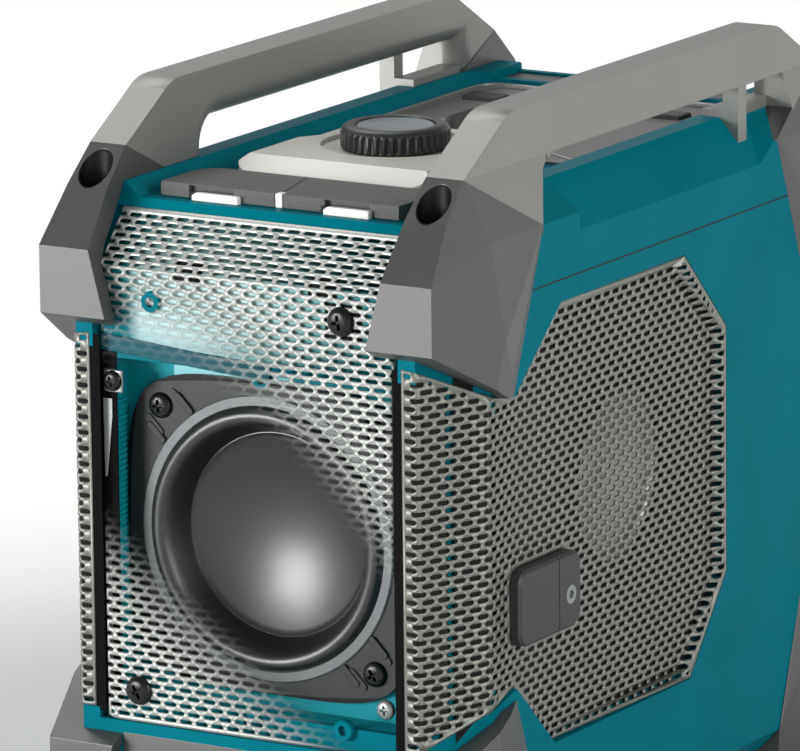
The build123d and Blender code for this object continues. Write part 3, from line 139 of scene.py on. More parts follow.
# matt white paint: it shows the shadow and no reflection of the radio
board, tree, surface = new_material("painted_board")
rays = add_node(tree, "LightPath")
seen = add_node(tree, "Math", {"operation": "MAXIMUM"},
                {0: rays.outputs["Is Camera Ray"], 1: rays.outputs["Is Glossy Ray"]})
seen = add_node(tree, "Math", {"operation": "MAXIMUM"},
                {0: seen, 1: rays.outputs["Is Transmission Ray"]})
place = add_node(tree, "TexCoord")
reach = add_node(tree, "VectorMath", {"operation": "LENGTH"}, {0: place.outputs["Object"]})
shadow_reach, white_reach = 0.21, 0.5
smoothly = {"interpolation_type": "SMOOTHSTEP"}
far_part = add_node(tree, "MapRange", smoothly,
                    {"Value": reach.outputs["Value"], "From Min": shadow_reach,
                     "From Max": white_reach})
lit = add_node(tree, "Math", {"operation": "MULTIPLY"}, {0: seen, 1: far_part})
paint = add_node(tree, "BsdfPrincipled", None,
                 {"Base Color": linear("#f4f4f4"), "Roughness": 0.8})
glow = add_node(tree, "Emission", None, {"Color": (1, 1, 1, 1), "Strength": 1.0})
mixed = add_node(tree, "MixShader", None, {0: lit, 1: paint, 2: glow})
tree.links.new(mixed.outputs[0], surface)
floor_half = 9000
floor = mesh_object("floor", [(x * floor_half, y * floor_half, 0)
                              for x, y in ((-1, -1), (1, -1), (1, 1), (-1, 1))],
                    [(0, 1, 2, 3)], board)
floor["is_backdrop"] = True

world = bpy.data.worlds.new("studio")
bpy.context.scene.world = world
world.use_nodes = True
tree = world.node_tree
tree.nodes.clear()
rays = add_node(tree, "LightPath")
open_air = add_node(tree, "Math", {"operation": "MAXIMUM"},
                    {0: rays.outputs["Is Camera Ray"], 1: rays.outputs["Is Transmission Ray"]})
# the room's own light is low, and glossy surfaces see its white walls near the horizon
room_light, wall_light = 0.27, 0.65
place = add_node(tree, "TexCoord")
heading = add_node(tree, "SeparateXYZ", None, {0: place.outputs["Generated"]})
walls = add_node(tree, "MapRange", smoothly,
                 {"Value": heading.outputs["Z"], "From Min": 0.05, "From Max": 0.6,
                  "To Min": wall_light, "To Max": 0.0})
walls = add_node(tree, "Math", {"operation": "MULTIPLY_ADD"},
                 {0: walls, 1: rays.outputs["Is Glossy Ray"], 2: room_light})
strength = add_node(tree, "Math", {"operation": "MAXIMUM"}, {0: open_air, 1: walls})
sky = add_node(tree, "Background", None, {"Color": (1, 1, 1, 1), "Strength": strength})
tree.links.new(sky.outputs[0], add_node(tree, "OutputWorld").inputs["Surface"])

# A broad box low at the front left lights the woofer end, one overhead and a little behind
# picks out the tops and the slopes of the handles, and a weak one fills the right side.
# All of them aim at the middle of the radio.
for name, place, size, watts in (("key_box", (-1.21, -1.88, 0.33), 0.92, 54.0),
                                 ("top_box", (-0.95, 0.62, 1.7), 0.95, 11.0),
                                 ("side_box", (2.1, -0.5, 0.9), 1.3, 29.0)):
    lamp_data = bpy.data.lights.new(name, "AREA")
    lamp_data.size = size
    lamp_data.energy = watts
    lamp = new_object(name, lamp_data)
    lamp.location = place
    lamp.rotation_euler = (Vector((0, 0, 0.13)) - lamp.location).to_track_quat(
        "-Z", "Y").to_euler()


# Housing: two ABS mouldings in teal, parted by a seam, with the end baffle behind them.
# The moulds were spark eroded to a fine grain, which gives a soft broken highlight.
def tinted(colour, factor):
    """A linear colour made lighter or darker, as RGBA."""
    return tuple(min(c * factor, 1.0) for c in colour[:3]) + (1.0,)


def moulded(name, colour, roughness, grain_mm, depth, cloud=0.05, gloss=0.5, **extra):
    """A plastic, rubber or paint with a fine grain. The grain is drawn at about 0.5 mm:
    a real spark-eroded or sprayed face has 0.05 to 0.1 mm, too fine to show."""
    made, tree, surface = new_material(name)
    where = add_node(tree, "TexCoord")
    grain = add_node(tree, "TexNoise", None,
                     {"Vector": where.outputs["Object"], "Scale": 1 / (grain_mm * MM),
                      "Detail": 3.0, "Roughness": 0.6})
    drift = add_node(tree, "TexNoise", None,
                     {"Vector": where.outputs["Object"], "Scale": 28.0, "Detail": 2.0})
    base = linear(colour)
    shade = add_node(tree, "ValToRGB", None, {"Fac": drift},
                     [(0.3, tinted(base, 1 - cloud)), (0.7, tinted(base, 1 + cloud))])
    bump = add_node(tree, "Bump", None,
                    {"Height": grain, "Strength": depth, "Distance": grain_mm * MM})
    vary = min(depth, 0.05)
    sheen = add_node(tree, "MapRange", None,
                     {"Value": grain, "To Min": roughness - vary, "To Max": roughness + vary})
    shader = add_node(tree, "BsdfPrincipled", None,
                      {"Base Color": shade, "Roughness": sheen, "Normal": bump,
                       "Specular IOR Level": gloss, **extra})
    tree.links.new(shader.outputs[0], surface)
    return made


def rounded(piece, bevel_mm, segments=3, angle=30):
    """Rounds the edges of a piece."""
    edge = piece.modifiers.new("edge", "BEVEL")
    edge.width = bevel_mm * MM
    edge.segments = segments
    edge.limit_method = "ANGLE"
    edge.angle_limit = radians(angle)
    edge.harden_normals = True


weld_reach = 0.00002


def dress(names, material, bevel_mm=0.0, angle=30):
    """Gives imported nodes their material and, where they have one, a rounded edge."""
    for node in [nodes[name] for name in names.split()]:
        node.data.materials.clear()
        node.data.materials.append(material)
        if bevel_mm:
            node.modifiers.new("weld", "WELD").merge_threshold = weld_reach
            rounded(node, bevel_mm, 3, angle)


# eroded ABS: a deep matt teal, its highlight spread so wide that it hardly shows
abs_teal = moulded("moulded_abs_teal", "#006c7a", 0.4, 0.6, 0.06, gloss=0.02)
dress("lower_housing upper_housing battery_door", abs_teal, 0.45)
# the same plastic drawn brighter and a little greener for light bouncing inside: painted light
abs_teal_painted_light = moulded("moulded_abs_teal_painted_light", "#06909c", 0.5, 0.5, 0.04, gloss=0.15)
dress("end_baffle", abs_teal_painted_light, 0.3)


# Interior: what shows past the woofer behind the end grille. A moulded shelf runs across
# the top of the opening, black foam strips seal its sides, and the wall between is ribbed.
# A pale plate on the wall is painted light falling in, and a flat spring lies on the left strip.
def tidy_normals(piece):
    """Turns every face of a closed mesh outwards."""
    mesh = bmesh.new()
    mesh.from_mesh(piece.data)
    bmesh.ops.recalc_face_normals(mesh, faces=mesh.faces)
    mesh.to_mesh(piece.data)
    mesh.free()


def slab(name, points, depth, place, material):
    """A closed plate from an outline: place(a, b, c) puts its points, c being 0 or depth."""
    count = len(points)
    verts = [place(a, b, c) for c in (0.0, depth) for a, b in points]
    faces = [tuple(range(count)), tuple(range(2 * count - 1, count - 1, -1))]
    faces += [(i, (i + 1) % count, count + (i + 1) % count, count + i) for i in range(count)]
    made = mesh_object(name, verts, faces, material)
    tidy_normals(made)
    return made


def rectangle(left, low, right, high):
    """The corners of a rectangle."""
    return [(left, low), (right, low), (right, high), (left, high)]


def upright(y):
    """Stands a plate across the radio with its near face at y."""
    return lambda a, b, c: (a, y + c, b)


def joined(pieces, name):
    """Joins pieces of one make into the first of them."""
    if len(pieces) > 1:
        with bpy.context.temp_override(active_object=pieces[0],
                                       selected_editable_objects=pieces):
            bpy.ops.object.join()
    pieces[0].name = name
    return pieces[0]


def fixed(piece, node=None, body="chassis"):
    """Rides a piece on its body, in the place of a node if it has one, which is hidden."""
    if node:
        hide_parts(node)
    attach(piece, body)


seat_y, foam_low, foam_high = -138.8, 62, 186
# closed-cell foam: black with no shine, so the strips read as shadow
foam_black = moulded("closed_cell_foam_black", "#0b0b0c", 0.85, 0.8, 0.3, gloss=0.1)
for name, left, right in (("foam_strip_left", -59.2, -52.2), ("foam_strip_right", 54.6, 59.2)):
    foam = slab(name, rectangle(left, foam_low, right, foam_high), 0.8, upright(seat_y - 0.6),
                foam_black)
    rounded(foam, 0.3, 2)
    fixed(foam)
# the same ABS drawn a darker teal for the shade of the sheet over it: painted shade
abs_teal_painted_shade = moulded("moulded_abs_teal_painted_shade", "#004f59", 0.45, 0.5, 0.04, gloss=0.15)
shelf = slab("opening_shelf", [(-58.5, 184.4), (-20, 181.8), (8, 179.9), (8, 185.2), (-20, 187.3),
                               (-58.5, 190.3)], 1.2, upright(seat_y - 0.9), abs_teal_painted_shade)
rounded(shelf, 0.4, 2)
fixed(shelf)
# a pale milky green with a soft edge for the light falling in on the wall: painted light
teal_light_patch = moulded("teal_painted_light_patch", "#7cc3c9", 0.5, 0.5, 0.02)
painted_light_plate = slab("painted_light_plate", rectangle(-37, 171, 8, 183), 0.8, upright(-127.6), teal_light_patch)
rounded(painted_light_plate, 0.3, 2)
fixed(painted_light_plate)
# zinc on spring steel: a light grey glint
spring_steel = moulded("zinc_spring_steel", "#a9adac", 0.4, 0.4, 0.03, Metallic=0.3)
spring = slab("strip_spring", [(-57.3, 168), (-57.0, 141), (-56.2, 141.4), (-53.8, 162),
                               (-53.8, 168)], 0.4, upright(seat_y - 1.1), spring_steel)
rounded(spring, 0.15, 2)
fixed(spring)
rib_count, rib_pitch, rib_wide, rib_low = 51, 1.9, 1.0, 70
rib_x, rib_near, rib_far = -56.4, -133.6, -127.0
# the ribs take the teal with painted light
ribs = [slab("wall_rib", rectangle(rib_near, z, rib_far, z + rib_wide), 0.9,
             lambda a, b, c: (rib_x + c, a, b), abs_teal_painted_light)
        for z in [rib_low + i * rib_pitch for i in range(rib_count)]]
fixed(joined(ribs, "ribbed_wall"))


# Grilles: steel sheet punched with staggered slots and folded, under a silver-grey powder
# coat. The side sheets wrap the corners and are pressed in below the walls. The end sheet
# is screwed on. It is shown ghosted over the woofer, so that the cone can be seen.
slot_pitch, slot_length, row_pitch = 6.15, 5.0, 2.7
side_slot_wide, end_slot_wide, fold_slot_wide, least_straight = 1.65, 1.42, 1.7, 0.1
sheet_thick, felt_thick = 0.9, 0.2


def arc(x, y, radius, first, last, step):
    """Points along an arc, at angles in degrees."""
    return [(x + radius * cos(radians(a)), y + radius * sin(radians(a)))
            for a in range(first, last + 1, step)]


def inset(points, amount):
    """A counterclockwise outline drawn in by an amount, with sharp corners."""
    made = []
    for i, b in enumerate(points):
        a, c = Vector(points[i - 1]), Vector(points[(i + 1) % len(points)])
        b = Vector(b)
        normal = Vector((0, 0))
        for run in ((b - a).normalized(), (c - b).normalized()):
            normal += Vector((-run.y, run.x))
        made.append(tuple(b + normal * (2 * amount / normal.length_squared)))
    return made


def spans(outline, level):
    """The stretches of a level line that lie inside an outline."""
    hits = []
    for i, (a, b) in enumerate(outline):
        c, d = outline[(i + 1) % len(outline)]
        if (b - level) * (d - level) < 0:
            hits.append(a + (c - a) * (level - b) / (d - b))
    hits.sort()
    return list(zip(hits[::2], hits[1::2]))


def overlap(first, second):
    """The stretches that two lists of stretches share."""
    return [(max(a, c), min(b, d)) for a, b in first for c, d in second if max(a, c) < min(b, d)]


def obround(start, stop, level, half):
    """The outline of a slot with round ends."""
    return (arc(stop - half, level, half, -90, 90, 60)
            + arc(start + half, level, half, 90, 270, 60))


def slot_rows(field, low, high, origin, wide, hole=None):
    """Staggered slots inside a field, cut short where they would leave it or meet a hole,
    which is left, right, low, high. Their width is wide(level)."""
    made = []
    for row in range(int((high - low) / row_pitch) + 1):
        level = low + row * row_pitch
        half = wide(level) / 2
        below, middle, above = [spans(field, level + side * half) for side in (-1, 0, 1)]
        for start, stop in overlap(overlap(below, middle), above):
            first = int((start - origin) // slot_pitch) - 1
            for k in range(first, first + int((stop - start) / slot_pitch) + 4):
                a = origin + (k + 0.5 * (row % 2)) * slot_pitch
                a, b = max(a, start), min(a + slot_length, stop)
                pieces = [(a, b)]
                if hole and hole[2] - half < level < hole[3] + half:
                    pieces = [(a, min(b, hole[0])), (max(a, hole[1]), b)]
                made += [obround(c, d, level, half) for c, d in pieces
                         if d - c > 2 * half + least_straight]
    return made


def punched_sheet(name, material, outline, holes, lines, place, flip=False,
                  thick=sheet_thick):
    """A punched and folded sheet: the flat blank is cut into triangles, which follow its
    fold lines, and place(s, t) bends it. It grows in thickness away from its face."""
    points, edges, faces = [], [], []
    for loop in [outline] + holes:
        faces.append(list(range(len(points), len(points) + len(loop))))
        points += [Vector(p) for p in loop]
    for line in lines:
        start = len(points)
        points += [Vector(p) for p in line]
        edges += [(start + i, start + i + 1) for i in range(len(line) - 1)]
    flat, _, cut, _, _, owners = delaunay_2d_cdt(points, edges, faces, 1, 1e-4)
    kept = [f for f, owner in zip(cut, owners) if list(owner) == [0]]
    used = sorted({i for f in kept for i in f})
    index = {old: new for new, old in enumerate(used)}
    verts = [place(flat[i][0], flat[i][1]) for i in used]
    kept = [tuple(index[i] for i in (reversed(f) if flip else f)) for f in kept]
    made = mesh_object(name, verts, kept, material, 24)
    solid = made.modifiers.new("gauge", "SOLIDIFY")
    solid.thickness = thick * MM
    solid.offset = -1.0
    return made


path_step = 0.25


def bent_path(start, runs, angles, soft):
    """Points along a bent line, from its start, runs, directions in degrees, and how far
    each bend spreads to both sides."""
    bends = [sum(runs[:i + 1]) for i in range(len(runs) - 1)]
    x, y = start
    made = [(x, y, radians(angles[0]))]
    for i in range(int(round(sum(runs) / path_step))):
        s = (i + 0.5) * path_step
        angle = angles[0]
        for bend, before, after in zip(bends, angles, angles[1:]):
            angle += (after - before) * min(max((s - bend + soft) / (2 * soft), 0), 1)
        angle = radians(angle)
        x, y = x + path_step * cos(angle), y + path_step * sin(angle)
        made.append((x, y, angle))
    return made


def along(path, s):
    """The point and direction at a distance along a bent path."""
    i = min(max(int(s / path_step), 0), len(path) - 2)
    part = s / path_step - i
    a, b = path[i], path[i + 1]
    return tuple(a[k] + (b[k] - a[k]) * part for k in range(3))


def powder_coat(name, colour, ghost):
    """Silver-grey powder coat over steel: a broken satin sheen. Its speckle is drawn at
    0.5 mm, coarser than the real one, to show. A ghosted sheet fades over the woofer."""
    made, tree, surface = new_material(name)
    where = add_node(tree, "TexCoord")
    speck = add_node(tree, "TexNoise", None,
                     {"Vector": where.outputs["Object"], "Scale": 1 / (0.5 * MM), "Detail": 2.0})
    base = linear(colour)
    shade = add_node(tree, "ValToRGB", None, {"Fac": speck},
                     [(0.35, tinted(base, 0.86)), (0.65, tinted(base, 1.12))])
    bump = add_node(tree, "Bump", None,
                    {"Height": speck, "Strength": 0.12, "Distance": 0.3 * MM})
    result = add_node(tree, "BsdfPrincipled", None,
                      {"Base Color": shade, "Roughness": 0.46, "Metallic": 0.55,
                       "Normal": bump})
    if ghost:
        # in metres: solid above a curved line and below a straight one, both of which fall
        # to the right, and clear between them
        here = add_node(tree, "SeparateXYZ", None, {0: where.outputs["Object"]})
        x, z = here.outputs["X"], here.outputs["Z"]
        square = add_node(tree, "Math", {"operation": "MULTIPLY"}, {0: x, 1: x})
        high = add_node(tree, "Math", {"operation": "MULTIPLY_ADD"}, {0: x, 1: 0.62, 2: z})
        high = add_node(tree, "Math", {"operation": "MULTIPLY_ADD"},
                        {0: square, 1: 7.14, 2: high})
        high = add_node(tree, "MapRange", smoothly,
                        {"Value": high, "From Min": 0.162, "From Max": 0.211})
        low = add_node(tree, "Math", {"operation": "MULTIPLY_ADD"}, {0: x, 1: 0.75, 2: z})
        low = add_node(tree, "MapRange", smoothly,
                       {"Value": low, "From Min": 0.096, "From Max": 0.048})
        solid = add_node(tree, "Math", {"operation": "MAXIMUM"}, {0: high, 1: low})
        solid = add_node(tree, "Math", {"operation": "POWER"}, {0: solid, 1: 1.7})
        clear = add_node(tree, "BsdfTransparent")
        result = add_node(tree, "MixShader", None, {0: solid, 1: clear, 2: result})
    tree.links.new(result.outputs[0], surface)
    return made


# Side sheets: in the blank, s runs with Y on the wall and on round the corner, and z runs
# up. From its end, the path crosses a narrow strip, the chamfered corner and the wall.
wall_x, crease_x, strip_x = 78.5, 65.5, 59.9
strip_y, shoulder_y, far_s = -142.5, -116.5, 44.5
chamfer = hypot(wall_x - crease_x, 26.5)
strip = hypot(crease_x - strip_x, 0.5)
side_start = shoulder_y - chamfer - strip
crease_s = side_start + strip
side_path = bent_path((strip_x, strip_y), (strip, chamfer, far_s - shoulder_y),
                      (-5.1, 63.87, 90.0), 1.3)
field = [(-101, 76), (-76, 51.5), (18, 51.5), (far_s, 84), (far_s, 171), (15, 201),
         (-70, 201), (-101, 175)]
side_outline = inset([(side_start, 62), (crease_s, 62), (shoulder_y, 72)] + field
                     + [(shoulder_y, 178.4), (crease_s, 190.4), (side_start, 191.2)], 0.45)
# the far edges are pressed: a flat rim just below the wall, a ramp and a deeper pan, which
# rises again towards the shoulder. At the corner the sheet stands proud.
rim_edges = [(Vector(a), Vector(b)) for a, b in zip(side_outline, side_outline[1:])
             if a[0] > 10 and b[0] > 10]
rim_wide, rim_ramp, rim_drop = 3.2, 2.6, 0.35
pan_depth, pan_run = 2.5, 22.5
corner_lift, lift_run = 0.6, 6


def side_depth(s, z):
    """How far below the wall the pressed sheet lies."""
    if s < shoulder_y:
        return -corner_lift * min((shoulder_y - s) / lift_run, 1.0)
    here = Vector((s, z))
    gap = inf
    for a, b in rim_edges:
        part = max(0.0, min(1.0, (here - a).dot(b - a) / (b - a).length_squared))
        gap = min(gap, (here - a - (b - a) * part).length)
    near = min((s - shoulder_y) / pan_run, 1.0)
    return rim_drop + pan_depth * min(near, max(0.0, min(1.0, (gap - rim_wide) / rim_ramp)))


def felt_depth(s, z):
    """How far below the wall the felt behind the sheet lies."""
    if s < shoulder_y - 0.3:
        return 0.5 - corner_lift * min((shoulder_y - s) / lift_run, 1.0)
    near = max(0.0, min((s - shoulder_y) / pan_run, 1.0))
    return rim_drop + pan_depth * near + sheet_thick + 0.3


def round_corner(side, depth_at):
    """Bends a blank round the corner on one side, at a depth below the path."""
    def place(s, z):
        x, y, angle = along(side_path, s - side_start)
        depth = depth_at(s, z)
        return side * (x - depth * sin(angle)), y + depth * cos(angle), z
    return place


# several lines along each fold let the blank bend in a small radius
corner_folds = [[(fold + 0.65 * k, 40), (fold + 0.65 * k, 210)]
                for fold in (crease_s, crease_s + chamfer) for k in (-2, -1, 0, 1, 2)]
side_lines = corner_folds + [[(-94, 40), (-94, 210)]]
for amount in (rim_wide, rim_wide + rim_ramp):
    loop = inset(side_outline, amount)
    side_lines.append(loop + loop[:1])
# the right sheet is cut out round the power socket
left, right, low, high, radius = -103, -62, 90, 116, 5
socket_hole = [point for s, z, first in (
    (right - radius, low + radius, 270), (right - radius, high - radius, 0),
    (left + radius, high - radius, 90), (left + radius, low + radius, 180))
               for point in arc(s, z, radius, first, first + 90, 30)]
slot_edge = 0.7
no_slots = (left - slot_edge, right + slot_edge, low, high)
# needled felt keeps dust out: black without a sheen. It is open in front of the speaker,
# and narrow strips of it line the corner, with a gap where the housing shows.
dust_felt = moulded("needled_felt_black", "#060606", 0.95, 0.8, 0.4)
felt_outline = inset([(-112, 74.5)] + field + [(-112, 177.5)], 1.5)
felt_opening = arc(-24, 132, 29.5, 0, 354, 6)
corner_felts = [(side_start + 0.9, crease_s + 11.4), (crease_s + 14.2, shoulder_y - 0.4)]
side_steel = powder_coat("powder_coated_steel", "#84867f", False)
for name, side in (("left", -1), ("right", 1)):
    cuts = slot_rows(inset(side_outline, slot_edge), 53.6, 200, side_start + 0.6,
                     lambda level: side_slot_wide, no_slots if side > 0 else None)
    if side > 0:
        cuts.append(socket_hole)
    sheet = punched_sheet(f"side_sheet_{name}", side_steel, side_outline, cuts, side_lines,
                          round_corner(side, side_depth), side < 0)
    fixed(sheet, f"side_grille_{name}")
    behind = round_corner(side, felt_depth)
    felt = punched_sheet(f"dust_felt_{name}", dust_felt, felt_outline, [felt_opening], [],
                         behind, side < 0)
    fixed(felt)
    for i, (a, b) in enumerate(corner_felts):
        outline = [(a, 63.5), (b, 63.5 + 0.35 * (b - side_start)),
                   (b, 189.6 - 0.36 * (b - side_start)), (a, 189.6)]
        felt = punched_sheet(f"corner_felt_{name}_{i}", dust_felt, outline, [], corner_folds,
                             behind, side < 0, felt_thick)
        fixed(felt)

# End sheet: it stands across the opening, its side edges are turned back on to the seat,
# and at the top it folds over and climbs back to the deck. Screws hold it at two corners.
face_y, fold_z, low_z, half_x, turn = -142.3, 214.5, 58.8, 56.2, 3.0
climb_y, climb_z = 14.8, 16.4
climb = hypot(climb_y, climb_z)
across = bent_path((-half_x, -turn), (turn, 2 * half_x, turn), (90.0, 0.0, -90.0), 0.9)
upward = bent_path((face_y, low_z), (fold_z - low_z, climb),
                   (90.0, degrees(atan2(climb_z, climb_y))), 0.35)
end_half, end_high = half_x + turn, fold_z + climb


def end_place(s, t):
    """Bends the end sheet's blank: s runs across it and t up it."""
    x, bend, _ = along(across, s + end_half)
    y, z, angle = along(upward, t - low_z)
    return x, y - bend * sin(angle), z + bend * cos(angle)


def behind_end(under):
    """Bends a blank at a depth under the face of the end sheet."""
    def place(s, t):
        y, z, angle = along(upward, t - low_z)
        return s, y + under * sin(angle), z - under * cos(angle)
    return place


radius = 7
end_outline = (arc(end_half - radius, low_z + radius, radius, 270, 360, 15)
               + [(end_half, end_high), (-end_half, end_high)]
               + arc(radius - end_half, low_z + radius, radius, 180, 270, 15))
top_folds = [[(-70, fold_z + 0.18 * k), (70, fold_z + 0.18 * k)] for k in (-2, -1, 0, 1, 2)]
end_lines = top_folds + [[(side * half_x + 0.45 * k, 50), (side * half_x + 0.45 * k, 245)]
                         for side in (-1, 1) for k in (-2, -1, 0, 1, 2)]


def painted_light_zone(name, base, middle, pale, centre, reach, edge_from, edge_to):
    """Teal ABS with a painted pool of light, pale and soft, where light falls in: its centre
    and reach, and the X between which its left edge fades, in millimetres."""
    made, tree, surface = new_material(name)
    where = add_node(tree, "TexCoord")
    shift = add_node(tree, "VectorMath", {"operation": "SUBTRACT"},
                     {0: where.outputs["Object"], 1: tuple(c * MM for c in centre)})
    scale = add_node(tree, "VectorMath", {"operation": "MULTIPLY"},
                     {0: shift, 1: tuple(1 / (c * MM) for c in reach)})
    gap = add_node(tree, "VectorMath", {"operation": "LENGTH"}, {0: scale})
    base, middle, pale = linear(base), linear(middle), linear(pale)
    tint = add_node(tree, "ValToRGB", None, {"Fac": gap.outputs["Value"]},
                    [(0.0, pale), (0.3, pale), (0.62, middle), (1.0, base)])
    across_x = add_node(tree, "SeparateXYZ", None, {0: where.outputs["Object"]})
    edge = add_node(tree, "MapRange", smoothly,
                    {"Value": across_x.outputs["X"], "From Min": edge_from * MM,
                     "From Max": edge_to * MM})
    tint = add_node(tree, "Mix", {"data_type": "RGBA"}, {"Factor": edge, 6: base, 7: tint})
    shader = add_node(tree, "BsdfPrincipled", None,
                      {"Base Color": tint.outputs[2], "Roughness": 0.6,
                       "Specular IOR Level": 0.1})
    tree.links.new(shader.outputs[0], surface)
    return made


# above the opening the seat is padded out behind the sheet, and black clips and the nut of
# a screw show between the slots
# the pad's teal carries a painted pool of light above the opening
pad_painted_light = painted_light_zone("teal_painted_light_pool", "#006f7a", "#7fb9bd", "#c9e6e7",
                     (-22, -140, 203), (76, 60, 33), -47.5, -40.5)
pad = punched_sheet("seat_pad", pad_painted_light, [(-55.5, 190.6), (-20, 187.7), (55.5, 184.0),
                                           (55.5, end_high - 0.8), (-55.5, end_high - 0.8)],
                    [], top_folds, behind_end(1.35))
fixed(pad)
for name, clip in (("clip_left", (-27.5, 210.5, -17.0, 219.0)),
                   ("clip_right", (24.0, 211.0, 35.0, 219.5)),
                   ("screw_nut", (30.5, 198.0, 44.5, 209.5))):
    clip = punched_sheet(name, dust_felt, rectangle(*clip), [], top_folds, behind_end(1.05),
                         False, felt_thick)
    fixed(clip)
# a black channel shows on each side, between the end sheet and the side sheets
for name, side in (("left", -1), ("right", 1)):
    channel = slab(f"channel_liner_{name}", rectangle(56.6, 61.0, 60.6, 190.0)[::side], 0.4,
                   lambda a, b, c: (side * a, -142.7 + c, b), foam_black)
    fixed(channel)
# the end sheet's coat is drawn lighter than the side sheets' same coat: painted light on the end
end_steel = powder_coat("powder_coated_steel_ghosted", "#b4b7b2", True)
end_slots = slot_rows(inset(end_outline, slot_edge), low_z + 2.2, end_high - 1.2,
                      0.6 - end_half,
                      lambda level: fold_slot_wide if level > fold_z else end_slot_wide)
end_sheet = punched_sheet("end_sheet", end_steel, end_outline, end_slots, end_lines, end_place)
fixed(end_sheet, "end_grille")


# Woofer: a pressed steel basket in satin grey paint with a rubber gasket under its flange,
# a rolled rubber surround and a moulded dish. Its flange is screwed to the baffle.
def turned(name, profile, material, place, sides=96, closed=False, smooth=35):
    """A piece turned on a lathe from (radius, height) points, with its axis set by place."""
    verts, rings, faces = [], [], []
    for radius, height in profile:
        count = sides if radius else 1
        rings.append(list(range(len(verts), len(verts) + count)))
        for i in range(count):
            angle = 2 * pi * i / count
            verts.append(place(radius * cos(angle), radius * sin(angle), height))
    for ring, above in list(zip(rings, rings[1:])) + ([(rings[-1], rings[0])] if closed else []):
        for i in range(sides):
            j = (i + 1) % sides
            around = (ring[i % len(ring)], ring[j % len(ring)],
                      above[j % len(above)], above[i % len(above)])
            faces.append(tuple(dict.fromkeys(around)))
    made = mesh_object(name, verts, faces, material, smooth)
    tidy_normals(made)
    return made


def flowing(points, steps=5):
    """A smooth line through points."""
    ends = [points[0]] + list(points) + [points[-1]]
    made = []
    for i in range(len(points) - 1):
        a, b, c, d = [Vector(p) for p in ends[i:i + 4]]
        for k in range(steps):
            t = k / steps
            made.append(tuple(0.5 * (2 * b + (c - a) * t + (2 * a - 5 * b + 4 * c - d) * t * t
                                     + (3 * b - a - 3 * c + d) * t ** 3)))
    return made + [tuple(points[-1])]


woofer_z, ring_y, sides_round = 124.0, -129.5, 160


def woofer_place(a, b, y):
    """Puts a lathe point on the woofer's axis, with its height as Y."""
    return a, y, woofer_z + b


# satin enamel on pressed steel: nearly black, with a soft edge to its highlights
basket_paint = moulded("satin_grey_enamel", "#27292a", 0.4, 0.5, 0.03, gloss=0.35, Metallic=0.1)
dress("woofer_basket", basket_paint, 0.5)
# the gasket is a rounded square, a superellipse outside, with a round bore
gasket_half_x, gasket_half_z, gasket_power, gasket_bore = 54.9, 53.3, 4.7, 51.3
outer, inner = [], []
for i in range(sides_round):
    angle = 2 * pi * i / sides_round
    c, s = cos(angle), sin(angle)
    reach = (abs(c / gasket_half_x) ** gasket_power
             + abs(s / gasket_half_z) ** gasket_power) ** (-1 / gasket_power)
    outer.append((reach * c, reach * s))
    inner.append((gasket_bore * c, gasket_bore * s))
verts = [woofer_place(a, b, y) for y in (-128.9, -126.4) for loop in (outer, inner)
         for a, b in loop]
loops = [k * sides_round for k in (0, 1, 3, 2, 0)]
faces = []
for i in range(sides_round):
    j = (i + 1) % sides_round
    faces += [(a + i, a + j, b + j, b + i) for a, b in zip(loops, loops[1:])]
# moulded rubber: black, with a faint sheen
gasket_rubber = moulded("black_rubber_gasket", "#070708", 0.5, 0.5, 0.05, gloss=0.2)
gasket = mesh_object("woofer_gasket", verts, faces, gasket_rubber, 40)
tidy_normals(gasket)
# silver enamel: a thin grey ring with a metallic edge light
ring_paint = moulded("satin_silver_enamel", "#6a6e6f", 0.3, 0.4, 0.01, Metallic=0.5)
trim_ring = turned("woofer_trim_ring", [(44.9, ring_y - 0.2), (45.3, ring_y - 0.75),
                                        (48.3, ring_y - 0.75), (48.8, ring_y - 0.3),
                                        (48.8, ring_y + 0.3), (44.9, ring_y + 0.3)],
                   ring_paint, woofer_place, sides_round, True)
# butyl rubber: smooth and black, with one long soft highlight round its roll
surround_rubber = moulded("butyl_rubber", "#161718", 0.38, 0.5, 0.0, gloss=0.8)
roll = flowing([(34.3, -121.6), (35.0, -122.7), (36.7, -126.6), (38.5, -130.2), (40.0, -132.0),
                (41.6, -132.6), (43.2, -132.2), (44.4, -130.8), (45.2, -128.4)], 6)
surround = turned("woofer_surround", roll + [(r, y + 1.0) for r, y in reversed(roll)],
                  surround_rubber, woofer_place, sides_round, True)
# polypropylene: dark grey, smooth enough for a broad bright patch of the key lamp
cone_skin = moulded("moulded_polypropylene", "#101112", 0.37, 0.4, 0.0, 0.0, 0.85)
dish_half, dish_y, dish_rise, dish_thick = 34.2, -113.6, 8.4, 1.0
dish = [(dish_half * k / 20, dish_y - dish_rise * (k / 20) ** 2) for k in range(21)]
dish += [(34.5, -122.35), (34.9, -122.3), (35.2, -121.9), (35.2, -121.0)]
dish += [(dish_half * k / 10, dish_y + dish_thick - dish_rise * (k / 10) ** 2)
         for k in range(9, -1, -1)]
dish_piece = turned("woofer_dish", dish, cone_skin, woofer_place, sides_round)
fixed(gasket)
fixed(trim_ring)
fixed(surround, "woofer_cone")
fixed(dish_piece)
